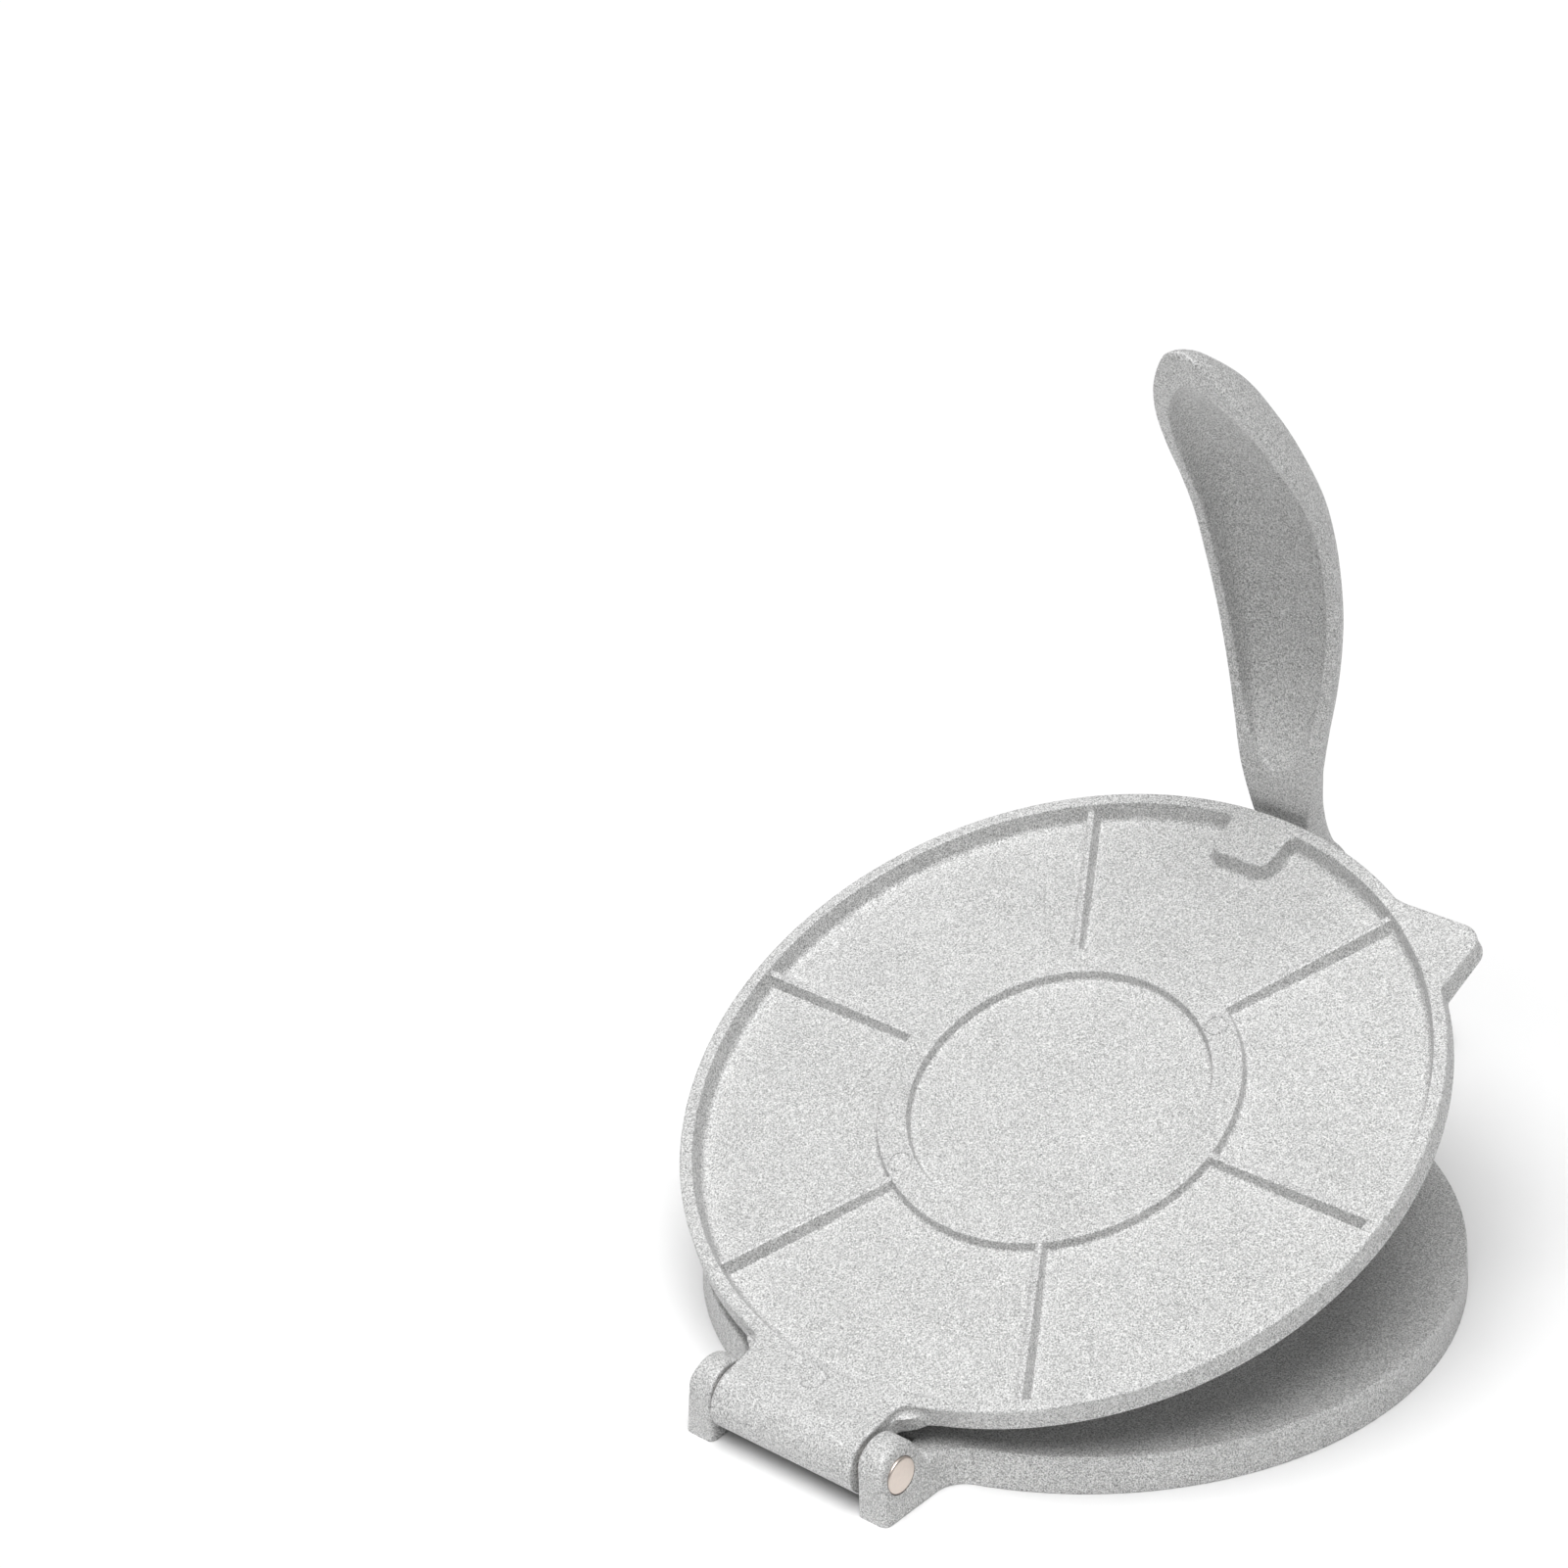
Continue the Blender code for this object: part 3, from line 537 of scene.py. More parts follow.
@dataclass
class PressingPlate:
    """The upper casting: dish with rim, ring and six ribs, pad, lifting tab, web and hinge barrel."""

    radius: float = 0.0825
    bottom: float = 0.00885
    thickness: float = 0.0056
    floor: float = 0.0012
    draft: float = 0.0004
    edge: float = 0.0006
    land: float = 0.0023
    wall_lean: float = 0.0010
    floor_fillet: float = 0.0015
    ring_outer: float = 0.0394
    ring_inner: float = 0.0326
    ring_height: float = 0.0034
    ring_lean: float = 0.0002
    ring_edge: float = 0.0003
    ring_fillet: float = 0.0006
    rib_low: float = 0.0035
    rib_high: float = 0.0044
    rib_half_top: float = 0.0008
    rib_crown: float = 0.0016
    rib_slope: float = 4.0
    rib_blend: float = 0.0004
    pad_half_width: float = 0.0076
    pad_inner: float = 0.0683
    pad_corner: float = 0.0030
    pad_fillet: float = 0.0020
    pad_foot: float = 0.0010
    tab_side: float = 0.0610
    tab_front: float = 0.0729
    tab_corner: float = 0.0052
    tab_fillet: float = 0.0020
    tab_drop: float = 0.0004
    web_half_width: float = 0.0188
    web_fillet: float = 0.0035
    barrel_radius: float = 0.0070
    barrel_blend: float = 0.0020
    ramp: float = 14.7
    bore: float = 0.0041
    rib_count: int = 6
    land_rows: int = 18
    lift: float = 0.00001
    ledge_reach: float = 0.0018
    ledge_drop: float = 0.0022
    ledge_fillet: float = 0.0012
    ledge_spread: float = 0.0030
    nick_half_width: float = 0.0002
    nick_height: float = 0.00008
    mark_line: float = 0.00034
    marks: tuple[tuple[float, ...], ...] = (
        (0.0205, 0.0295, 0.0024, 0.0022),
        (-0.0210, -0.0290, 0.0024, 0.0022),
        (0.0015, 0.0830, 0.0027, 0.0),
    )
    nicks: tuple[tuple[float, ...], ...] = (
        (0.0010, -0.0776, 0.0012, -0.5),
        (-0.0016, -0.0764, 0.0010, -0.2),
    )

    @property
    def top(self) -> float:
        """Height of the rim's top face when the plate is closed."""
        return self.bottom + self.thickness

    @property
    def sector(self) -> float:
        """Angle from one rib to the next."""
        return 2 * math.pi / self.rib_count

    def column_angles(self, start: float, end: float) -> Array:
        """Angles of the grid's columns on a stretch of rim, dense beside the ribs.

        Args:
            start: First angle of the stretch, in radians.
            end: Last angle.

        Returns:
            Rising angles, without the two ends.
        """
        step, margin = 0.03, 0.004
        beside = np.array((0, 0.35, 0.7, 1.0, 1.3, 1.6, 2.0, 2.6, 3.6, 5.0)) * 0.001 / self.radius
        ribs = np.arange(-1, 2 * self.rib_count) * self.sector
        close = (ribs[:, None] + np.concatenate((-beside[::-1], beside[1:]))).ravel()
        wide = np.arange(math.floor(start / step), math.ceil(end / step)) * step
        wide = wide[np.min(np.abs(wide[:, None] - ribs), axis=1) > beside[-1] * 1.2]
        angles = np.unique(np.concatenate((close, wide)).round(7))
        return angles[(angles > start + margin) & (angles < end - margin)]

    def tab_outline(self) -> Array:
        """The lifting tab's side of the rim, from the rim and back to it, with small fillets.

        A rib ends at the tab's front edge, so that edge's points lie as densely as the rim's there.

        Returns:
            Points from the rim beyond the tab's -X side to the rim beyond its -Y side.
        """
        reach, fillet, corner = self.radius + self.tab_fillet, self.tab_fillet, self.tab_corner
        side_x = -(self.tab_side + fillet)
        side_y = -math.sqrt(reach**2 - side_x**2)
        front_y = -(self.tab_front + fillet)
        front_x = -math.sqrt(reach**2 - front_y**2)
        one = arc((side_x, side_y), fillet, math.atan2(-side_y, -side_x), 0, 6)
        tip = arc((corner - self.tab_side, corner - self.tab_front), corner, math.pi, 1.5 * math.pi, 10)
        two = arc((front_x, front_y), fillet, QUARTER, math.atan2(-front_y, -front_x), 6)
        start, end = (2 * math.pi + math.atan2(y, x) for x, y in (tip[-1], two[0]))
        turns = self.column_angles(start, end)
        front = -self.tab_front * np.stack((1 / np.tan(turns), np.ones(len(turns))), axis=-1)
        return np.vstack((one, between(one[-1], tip[0], 8), tip, front, two))

    def web_outline(self) -> Array:
        """The hinge's side of the rim: fillet, straight side, the barrel's far edge and back.

        Returns:
            Points from the rim on the +X side round the barrel to the rim on the -X side.
        """
        half, fillet = self.web_half_width, self.web_fillet
        far = HINGE_REACH + self.barrel_radius
        centre_x = half + fillet
        centre_y = math.sqrt((self.radius + fillet) ** 2 - centre_x**2)
        touch = math.atan2(centre_y, centre_x)
        right = arc((centre_x, centre_y), fillet, math.pi + touch, math.pi, 8)
        middle = HINGE_REACH - self.barrel_radius
        rise = arc((HINGE_REACH, 0), self.barrel_radius, math.pi, 0.7, 20)[:, 0]
        side = np.stack((np.full(len(rise) + 1, half), np.append(rise, far)), axis=-1)
        neck = between(right[-1], np.array((half, middle)), 6)
        end = np.stack((np.linspace(half, -half, 25)[1:-1], np.full(23, far)), axis=-1)
        run = np.vstack((right, neck, side))
        return np.vstack((run, end, run[::-1] * MIRROR))

    def outline(self) -> Array:
        """Plan of the whole plate, counter-clockwise from the rim beyond the web's -X side.

        Returns:
            Points as (n, 2).
        """
        web, tab = self.web_outline(), self.tab_outline()
        web_end = math.atan2(web[-1][1], web[-1][0])
        tab_start = math.atan2(tab[0][1], tab[0][0]) + 2 * math.pi
        tab_end = math.atan2(tab[-1][1], tab[-1][0]) + 2 * math.pi
        web_start = math.atan2(web[0][1], web[0][0]) + 2 * math.pi
        left = self.column_angles(web_end, tab_start)
        right = self.column_angles(tab_end, web_start)
        rim_left = self.radius * np.stack((np.cos(left), np.sin(left)), axis=-1)
        rim_right = self.radius * np.stack((np.cos(right), np.sin(right)), axis=-1)
        return np.vstack((rim_left, tab, rim_right, web))

    def section(self) -> Array:
        """Half section of the dish from near the centre to the inner edge of the rim's top.

        Returns:
            Points of (radius, height above the underside).
        """
        floor, ring, top = self.floor, self.ring_height, self.thickness
        land = self.radius - self.draft - self.edge - self.land
        corners = [
            (0.001, floor, 0),
            (self.ring_inner - self.ring_lean, floor, self.ring_fillet),
            (self.ring_inner + self.ring_lean, ring, self.ring_edge),
            (self.ring_outer - self.ring_lean, ring, self.ring_edge),
            (self.ring_outer + self.ring_lean, floor, self.ring_fillet),
            (land - self.wall_lean, floor, self.floor_fillet),
            (land, top, self.edge / 2),
            (land + self.edge, top, 0),
        ]
        path = open_path(corners, 6)
        extra = np.concatenate((np.arange(0.006, 0.031, 0.006), np.arange(0.0415, 0.076, 0.0035)))
        fill = np.stack((extra, np.full(len(extra), floor)), axis=-1)
        path = np.vstack((path, fill))
        order = np.argsort(path[:, 0] + 1e-3 * path[:, 1], kind="stable")
        return path[order]

    def ribs(self, along: Array, across: Array) -> Array:
        """Height of the nearest rib: a round crown, then straight slopes down both sides.

        The crown rises evenly from the ring's height to its greatest height at the rim.

        Args:
            along: Distance from the disc's centre.
            across: Distance from the rib's middle line.

        Returns:
            Heights above the underside.
        """
        off = np.abs(across)
        inside = np.minimum(off, self.rib_half_top)
        crown = self.rib_crown - np.sqrt(self.rib_crown**2 - inside**2)
        share = np.clip((along - self.ring_outer) / (self.radius - self.ring_outer), 0, 1)
        level = self.rib_low + (self.rib_high - self.rib_low) * share
        return level - crown - self.rib_slope * np.maximum(off - self.rib_half_top, 0)

    def column_turn(self, angle: Array, radius: Array) -> Array:
        """Angle of each column at each radius, so that columns beside a rib run parallel to it.

        Beside a rib the column keeps its distance d from the rib's middle line, which gives the angle
        asin(d / radius); between the ribs the angles are shared out evenly.

        Args:
            angle: Angle of each column at the rim.
            radius: Radius of each row.

        Returns:
            Angles as (rows, columns).
        """
        nearest = np.round(angle / self.sector) * self.sector
        off = np.abs(angle - nearest)
        reach, half = 0.005, self.sector / 2
        limit = math.asin(reach / self.radius)
        near = np.maximum(radius, self.ring_inner)[:, None]
        bound = np.arcsin(reach / near)
        straight = np.arcsin(np.clip(self.radius * np.sin(off) / near, -1, 1))
        shared = bound + (off - limit) * (half - bound) / (half - limit)
        return nearest + np.sign(angle - nearest) * np.where(off <= limit, straight, shared)

    def dish(self, angle: Array) -> Array:
        """The dish's rows with the ribs on them, from near the centre to the rim's top.

        Args:
            angle: Angle of each column at the rim.

        Returns:
            Grid as (rows, columns, 3).
        """
        radius, height = self.section().T
        turn = self.column_turn(angle, radius)
        across = radius[:, None] * np.sin(turn - np.round(angle / self.sector) * self.sector)
        along = np.broadcast_to(radius[:, None], across.shape)
        ribbed = (along > self.ring_outer - 2 * self.ring_edge) & (along <= radius[-1] - 1.2 * self.edge)
        rib = np.where(ribbed, self.ribs(along, across), FAR_BELOW)
        lifted = smooth_max(np.broadcast_to(height[:, None], across.shape), rib, self.rib_blend)
        return np.stack((along * np.cos(turn), along * np.sin(turn), self.bottom + lifted), axis=-1)

    def wall(self, plan: Array, bulge: Array) -> Array:
        """The wall's rows round the plan: upper edge, wall with the ledge's fillet, and lower edge.

        Where the plan ends at the barrel the rows follow the barrel's circle.

        Args:
            plan: Points as (n, 2).
            bulge: How far the ledge stands out at each point, as (n, 1).

        Returns:
            Grid as (rows, n, 3).
        """
        normal = outward(plan)
        rows = []
        for turn in np.linspace(0, QUARTER, 6)[1:]:
            out = -self.draft - self.edge * (1 - math.sin(turn))
            rows.append(self.placed((plan + normal * out)[None], self.edge * (1 - math.cos(turn))))
        for turn in np.linspace(0, QUARTER, 7):
            out = bulge * (1 - math.cos(turn)) - self.draft
            drop = self.ledge_drop + self.ledge_fillet * (math.sin(turn) - 1)
            rows.append(self.placed((plan + normal * out)[None], drop))
        for turn in np.linspace(QUARTER, 0, 6):
            out = bulge - self.edge * (1 - math.sin(turn))
            rows.append(self.placed((plan + normal * out)[None], self.edge * (1 - math.cos(turn)), False))
        sides = np.concatenate(rows)
        behind = plan[:, 1] > HINGE_REACH + self.barrel_radius - 1e-6
        first = math.acos(1 - (self.draft + self.edge) / self.barrel_radius)
        last = -math.acos(1 - self.edge / self.barrel_radius)
        round_end = np.linspace(first, last, len(sides) + 1)[1:, None]
        sides[:, behind, 1] = HINGE_REACH + self.barrel_radius * np.cos(round_end)
        sides[:, behind, 2] = HINGE_HEIGHT + self.barrel_radius * np.sin(round_end)
        return sides

    def shell(self) -> Shell:
        """The whole casting as one surface over the plan: dish, land, wall and underside.

        Returns:
            The surface, with the plate closed.
        """
        plan = self.outline()
        normal = outward(plan)
        dish = self.dish(np.unwrap(np.arctan2(plan[:, 1], plan[:, 0])))
        inner = dish[-1, :, :2]
        rim = plan - normal * (self.draft + self.edge)
        share = (1 - np.cos(np.linspace(0, math.pi, self.land_rows + 1)))[1:, None, None] / 2
        land = self.placed(inner + (rim - inner) * share, 0)
        bulge = self.ledge_reach * self.ledge_share(plan)[:, None]
        inward = 0.25 + 0.75 * np.array((0.002, 0.30, 0.60, 0.85, 0.999))
        shrink = 1 - np.concatenate((np.linspace(0, 0.25, 19)[1:], inward))[:, None, None]
        under = self.placed((plan + normal * (bulge - self.edge)) * shrink, 0, False)
        rows = np.concatenate((dish, land, self.wall(plan, bulge), under))
        return grid_shell(rows, End.POLE, End.POLE)

    def ledge_share(self, plan: Array) -> Array:
        """How far the low ledge at the web's two corners stands out: 1 at the corner, 0 away from it.

        With d the distance from the middle of the corner's fillet over the spread, it is exp(-d^4).

        Args:
            plan: Points as (n, 2).

        Returns:
            Shares of the ledge's reach.
        """
        centre_x = self.web_half_width + self.web_fillet
        centre_y = math.sqrt((self.radius + self.web_fillet) ** 2 - centre_x**2)
        corner = np.array((centre_x, centre_y)) - self.web_fillet * np.array((0.6, 0.8))
        away = np.hypot(np.abs(plan[:, 0]) - corner[0], plan[:, 1] - corner[1]) / self.ledge_spread
        return np.exp(-(away**4))

    def sides(self, plan: Array) -> tuple[Array, Array]:
        """Heights of both sides over plan points: the dish's two levels, or the barrel beyond them.

        The barrel's half thickness is its circle's half chord. A straight ramp, tangent to that circle,
        leads up to it from the rim.

        Args:
            plan: Points as (rows, columns, 2).

        Returns:
            Heights of the underside and of the upper side, each as (rows, columns).
        """
        y, radius = plan[..., 1], self.barrel_radius
        off = (y - HINGE_REACH) / radius
        half = np.where(np.abs(off) < 1, radius * np.sqrt(np.maximum(1 - off**2, 0)), FAR_BELOW)
        slope = math.radians(self.ramp)
        touch = HINGE_REACH - radius * math.sin(slope)
        ramp = radius * math.cos(slope) + (y - touch) * math.tan(slope)
        over, under = HINGE_HEIGHT + np.where(y < touch, ramp, half), HINGE_HEIGHT - half
        upper = smooth_max(np.full(y.shape, self.top), over, self.barrel_blend)
        lower = -smooth_max(np.full(y.shape, -self.bottom), -under, self.barrel_blend / 2)
        behind = y > HINGE_REACH
        upper = np.where(behind, np.maximum(over, HINGE_HEIGHT), upper)
        return np.where(behind, np.minimum(under, HINGE_HEIGHT), lower), upper

    def placed(self, plan: Array, depth: float, upper: bool = True) -> Array:
        """Puts plan points on one of the two sides, or inside it by at most 0.45 thicknesses.

        The lifting tab, which lies beyond the disc's radius, is a little lower than the rim.

        Args:
            plan: Points as (rows, columns, 2).
            depth: How far inside the side they lie.
            upper: Whether it is the upper side.

        Returns:
            Points as (rows, columns, 3).
        """
        low, high = self.sides(plan)
        depth = np.minimum(depth, 0.45 * (high - low))
        beyond = np.hypot(plan[..., 0], plan[..., 1]) - self.radius
        step = self.tab_drop * np.clip(beyond / self.tab_drop, 0, 1) * (plan[..., 1] < 0)
        height = high - step - depth if upper else low + depth
        return np.concatenate((plan, height[..., None]), axis=-1)

    def pad(self) -> Shell:
        """The pad under the lever, flush with the rim, with a fillet to the floor.

        Returns:
            The surface, with the plate closed.
        """
        land = self.radius - self.draft - self.edge - self.land
        half, fillet, corner = self.pad_half_width, self.pad_fillet, self.pad_corner
        centre_x = half + fillet
        centre_y = -math.sqrt((land - fillet) ** 2 - centre_x**2)
        touch = math.atan2(centre_y, centre_x)
        front = arc((half - corner, -self.pad_inner - corner), corner, QUARTER, 0, 8)
        flare = arc((centre_x, centre_y), fillet, math.pi, 2 * math.pi + touch, 8)
        middle = land + self.land / 2
        far = math.asin(flare[-1][0] / middle)
        back = arc((0, 0), middle, -QUARTER + far, -QUARTER, 6)
        right = np.vstack((front, flare, back[:-1]))
        outline = np.vstack((right, back[-1:], right[::-1] * MIRROR))
        floor, top, foot = self.bottom + self.floor - self.lift, self.top + self.lift, self.pad_foot
        levels = [
            (-self.draft - foot * (1 - math.sin(turn)), floor + foot * (1 - math.cos(turn)))
            for turn in np.linspace(0, QUARTER, 6)
        ]
        return grid_shell(carried(outline, levels + crest(top, self.edge)))

    def mark(self, x: float, y: float, radius: float, depth: float) -> Shell:
        """An ejector pin's circle: a fine raised line, half sunk into the face below it.

        Args:
            x: Place of the circle's centre.
            y: The same across.
            radius: Radius of the circle.
            depth: How far the face lies below the plate's upper side.

        Returns:
            The surface, with the plate closed.
        """
        line = arc((radius, 0), self.mark_line, 0, 2 * math.pi, 10)[:-1]
        grid = lathe(line, COLUMNS) + np.array((x, y, -depth))
        grid[..., 2] += self.sides(grid[..., :2])[1]
        return grid_shell(grid, End.JOINED, End.JOINED)

    def nick(self, x: float, y: float, half_length: float, angle: float) -> Shell:
        """A small burr on the pad: a long low ellipsoid.

        Args:
            x: Place of its middle.
            y: The same across.
            half_length: Half its length.
            angle: Angle of its length against X.

        Returns:
            The surface, with the plate closed.
        """
        ball = lathe(arc((0, 0), 1, -0.99 * QUARTER, 0.99 * QUARTER, 12), 24)
        grid = turned(ball * np.array((half_length, self.nick_half_width, self.nick_height)), angle)
        return grid_shell(grid + np.array((x, y, self.top)), End.POLE, End.POLE)

    def build(self, finish: bpy.types.Material) -> None:
        """Builds the casting and puts it on the plate's body.

        Args:
            finish: The castings' material.
        """
        body = trimmed(self.shell(), [bore(self.bore, HINGE_REACH, HINGE_HEIGHT)])
        small = [self.mark(*mark) for mark in self.marks] + [self.nick(*nick) for nick in self.nicks]
        shell = merged([body, self.pad(), *small])
        shell.points = opened(shell.points)
        add_piece("plate_casting", shell, finish, "plate", "top_plate")


def open_path(corners: list[tuple[float, float, float]], steps: int) -> Array:
    """An open path with an arc at each inner corner, tangent to both of the corner's sides.

    Args:
        corners: Each corner as (x, y, radius); the radius at both ends isn't used.
        steps: Steps in each arc.

    Returns:
        Points as (n, 2).
    """
    at = np.array(corners)
    at[[0, -1], 2] = 1e-9
    closed = rounded(at.tolist(), steps)
    return np.vstack((at[:1, :2], closed[steps + 1 : -steps - 1], at[-1:, :2]))


def smooth_table(rows: tuple[tuple[float, ...], ...] | Array, at: Array) -> Array:
    """Smooth values through a table's rows: a cubic with the neighbours' slopes between two rows.

    Args:
        rows: Rows of (place, value, value, ...), in rising order of place.
        at: Places to read.

    Returns:
        Values as (places, columns).
    """
    table = np.array(rows)
    places, values = table[:, 0], table[:, 1:]
    slopes = np.gradient(values, places, axis=0)
    row = np.clip(np.searchsorted(places, at, side="right") - 1, 0, len(places) - 2)
    step = (places[row + 1] - places[row])[:, None]
    t = (at - places[row])[:, None] / step
    start = (1 + 2 * t) * (1 - t) ** 2 * values[row] + t * (1 - t) ** 2 * step * slopes[row]
    end = t**2 * (3 - 2 * t) * values[row + 1] - t**2 * (1 - t) * step * slopes[row + 1]
    return start + end


def smooth_run(points: Array, count: int) -> Array:
    """A smooth curve through points, by their distance along the run.

    Args:
        points: Points as (n, 2).
        count: How many points the curve gets.

    Returns:
        Points as (count, 2).
    """
    place = np.insert(np.cumsum(np.linalg.norm(np.diff(points, axis=0), axis=1)), 0, 0)
    return smooth_table(np.column_stack((place, points)), np.linspace(0, place[-1], count))


def cylinder(radius: float, low: Point, high: Point, columns: int = COLUMNS) -> Shell:
    """A closed cylinder along X.

    Args:
        radius: Its radius.
        low: Middle of its -X end.
        high: Middle of its +X end.
        columns: Points round it.

    Returns:
        The surface.
    """
    rings = [arc(end[1:], radius, 0, 2 * math.pi, columns)[:-1] for end in (low, high)]
    return grid_shell(np.stack([np.insert(rings[k], 0, (low, high)[k][0], axis=1) for k in (0, 1)]))


def bore(radius: float, y: float, z: float) -> Shell:
    """A cutter along X that passes right through a casting."""
    return cylinder(radius, (-THROUGH, y, z), (THROUGH, y, z))


def across_x(outline: Array, levels: Levels) -> Shell:
    """A closed slab: an outline of (y, z) carried along X by levels of (inset, x)."""
    return grid_shell(side_on(carried(outline, levels)))


def slab_levels(low: float, high: float, edge: float) -> Levels:
    """Levels of a slab between two heights, with both rims rounded."""
    return upside_down(crest(high, edge), (low + high) / 2) + crest(high, edge)


def mirror_x(shell: Shell) -> Shell:
    """The same shell on the other side of x = 0."""
    return Shell(shell.points * np.array((-1, 1, 1)), [face[::-1] for face in shell.faces])


@dataclass
class BaseCasting:
    """The lower casting: hollow bed with tongue, two hinge lugs and the two ears of the lever's pin."""

    height: float = 0.00855
    radius: float = 0.0816
    draft: float = 0.0004
    edge: float = 0.0006
    foot_edge: float = 0.0003
    wall: float = 0.0034
    roof: float = 0.00535
    roof_fillet: float = 0.0012
    relief: float = 0.0012
    under_inner: float = 0.0330
    under_outer: float = 0.0366
    under_edge: float = 0.0004
    under_offset: float = 0.0003
    rib_half_width: float = 0.0012
    rib_edge: float = 0.0005
    rib_flare: float = 1.3
    tongue_reach: float = 0.1280
    tongue_half_width: float = 0.0140
    tongue_flare: float = 0.0480
    lug_inner: float = 0.0193
    lug_outer: float = 0.0268
    lug_rear: float = 0.0975
    lug_flare: float = 0.0070
    lug_start: float = 0.0720
    lug_blend: tuple[float, float] = (0.080, 0.006)
    lug_inner_edge: float = 0.0008
    lug_inner_draw: float = 0.6
    ear_radius: float = 0.0062
    ear_centre: float = 0.0101
    ear_edge: float = 0.0015
    ear_fillet: float = 0.0020
    ear_lean: float = 0.10
    hinge_bore: float = 0.0041
    lever_bore: float = 0.0031
    lever_ear_inner: float = 0.0035
    lever_ear_outer: float = 0.0080
    lever_ear_half: float = 0.0082
    lever_ear_top: float = 0.0330
    lever_ear_edge: float = 0.0009
    lever_ear_flare: float = 0.0012
    plinth_half_width: float = 0.0095
    plinth_half_length: float = 0.0090
    plinth_height: float = 0.0013
    plinth_edges: Edges = (0.0012, 0.0004)
    block_foot: float = 0.0004
    block_foot_rise: float = 0.0005
    ridge_outer: float = 0.1050
    ridge_width: float = 0.0020
    ridge_height: float = 0.0020
    ridge_half_length: float = 0.0155
    ridge_edges: Edges = (0.0008, 0.0006)
    lift: float = 0.00001
    sink: float = 0.001

    def plan(self) -> Array:
        """Plan of the bed and the tongue: the disc's rim, concave flares, straight sides and a round nose.

        Returns:
            Points as (n, 2).
        """
        width, flare = self.tongue_half_width, self.tongue_flare
        centre_x = width + flare
        centre_y = math.sqrt((self.radius + flare) ** 2 - centre_x**2)
        touch = math.atan2(centre_y, centre_x)
        nose_y = -(self.tongue_reach - width)
        right = arc((centre_x, -centre_y), flare, math.pi - touch, math.pi, 24)
        right = right[right[:, 1] > nose_y]
        nose = arc((0, nose_y), width, 0, -math.pi, 32)
        rim = arc((0, 0), self.radius, -touch, math.pi + touch, 220)
        side = between(np.array((width, right[-1][1])), np.array((width, nose_y)), 7)
        front = np.vstack((right[1:], side, nose, (side * MIRROR)[::-1], (right[::-1] * MIRROR)[:-1]))
        return np.vstack((rim, front[::-1]))

    def bed(self) -> Shell:
        """The hollow bed: top face, rounded edge, drafted wall, sole, inner wall, fillet and roof.

        Returns:
            The surface.
        """
        plan, foot_edge, fillet = self.plan(), self.foot_edge, self.roof_fillet
        top_edge = carried(plan, crest(self.height, self.edge, self.draft)[::-1])
        sole = carried(plan, upside_down(crest(foot_edge, foot_edge), foot_edge / 2)[::-1])
        inner = [(self.wall, 0), (self.wall + foot_edge, foot_edge)]
        start = self.wall + foot_edge + self.draft
        inner += [
            (start + fillet * (1 - math.cos(turn)), self.roof - fillet * (1 - math.sin(turn)))
            for turn in np.linspace(0, QUARTER, 6)
        ]
        hollow = carried(plan, inner)
        share = np.array((0.002, 0.2, 0.4, 0.6, 0.8, 0.93))[:, None, None]
        face = top_edge[0] * share
        face[..., 2] = self.height
        under = hollow[-1] * share[::-1]
        under[..., 2] = self.roof
        return grid_shell(np.concatenate((face, top_edge, sole, hollow, under)), End.POLE, End.POLE)

    def under_ring(self) -> Shell:
        """The ring under the roof: a square profile with round lower corners, turned about the centre.

        Returns:
            The surface.
        """
        low, high = self.relief, self.roof + self.sink
        inner, outer, corner = self.under_inner, self.under_outer, self.under_edge
        profile = rounded([(outer, high, 0), (outer, low, corner), (inner, low, corner), (inner, high, 0)])
        return grid_shell(lathe(profile, 160), End.JOINED, End.JOINED)

    def under_rib(self, angle: float) -> Shell:
        """One straight rib under the roof, from the ring to the wall, wider at the roof.

        Args:
            angle: Its direction, in radians.

        Returns:
            The surface.
        """
        low, high = self.relief + self.lift, self.roof + self.sink
        half, corner = self.rib_half_width, self.rib_edge
        wide = half * self.rib_flare
        section = rounded([(-half, low, corner), (half, low, corner), (wide, high, 0), (-wide, high, 0)])
        start = (self.under_inner + self.under_outer) / 2 - self.under_offset
        ends = (start, self.radius - self.wall / 2)
        return grid_shell(turned(np.stack([np.insert(section, 0, end, axis=1) for end in ends]), angle))

    def lug_crown(self) -> Array:
        """Top line of a lug from inside the bed to its rear: arm, concave fillet and the ear's half round.

        Returns:
            Points of (y, height).
        """
        level = self.height + self.lift
        middle = self.lug_rear - self.ear_radius
        front = middle - self.ear_radius
        arm = np.linspace(self.lug_start, front - self.ear_fillet, 24)[:-1]
        flat = np.stack((arm, np.full(len(arm), level)), axis=-1)
        rise = arc((front - self.ear_fillet, level + self.ear_fillet), self.ear_fillet, -QUARTER, -0.12, 8)
        round_top = arc((middle, self.ear_centre), self.ear_radius, math.pi - 0.16, 0, 40)
        return np.vstack((flat, rise, round_top))

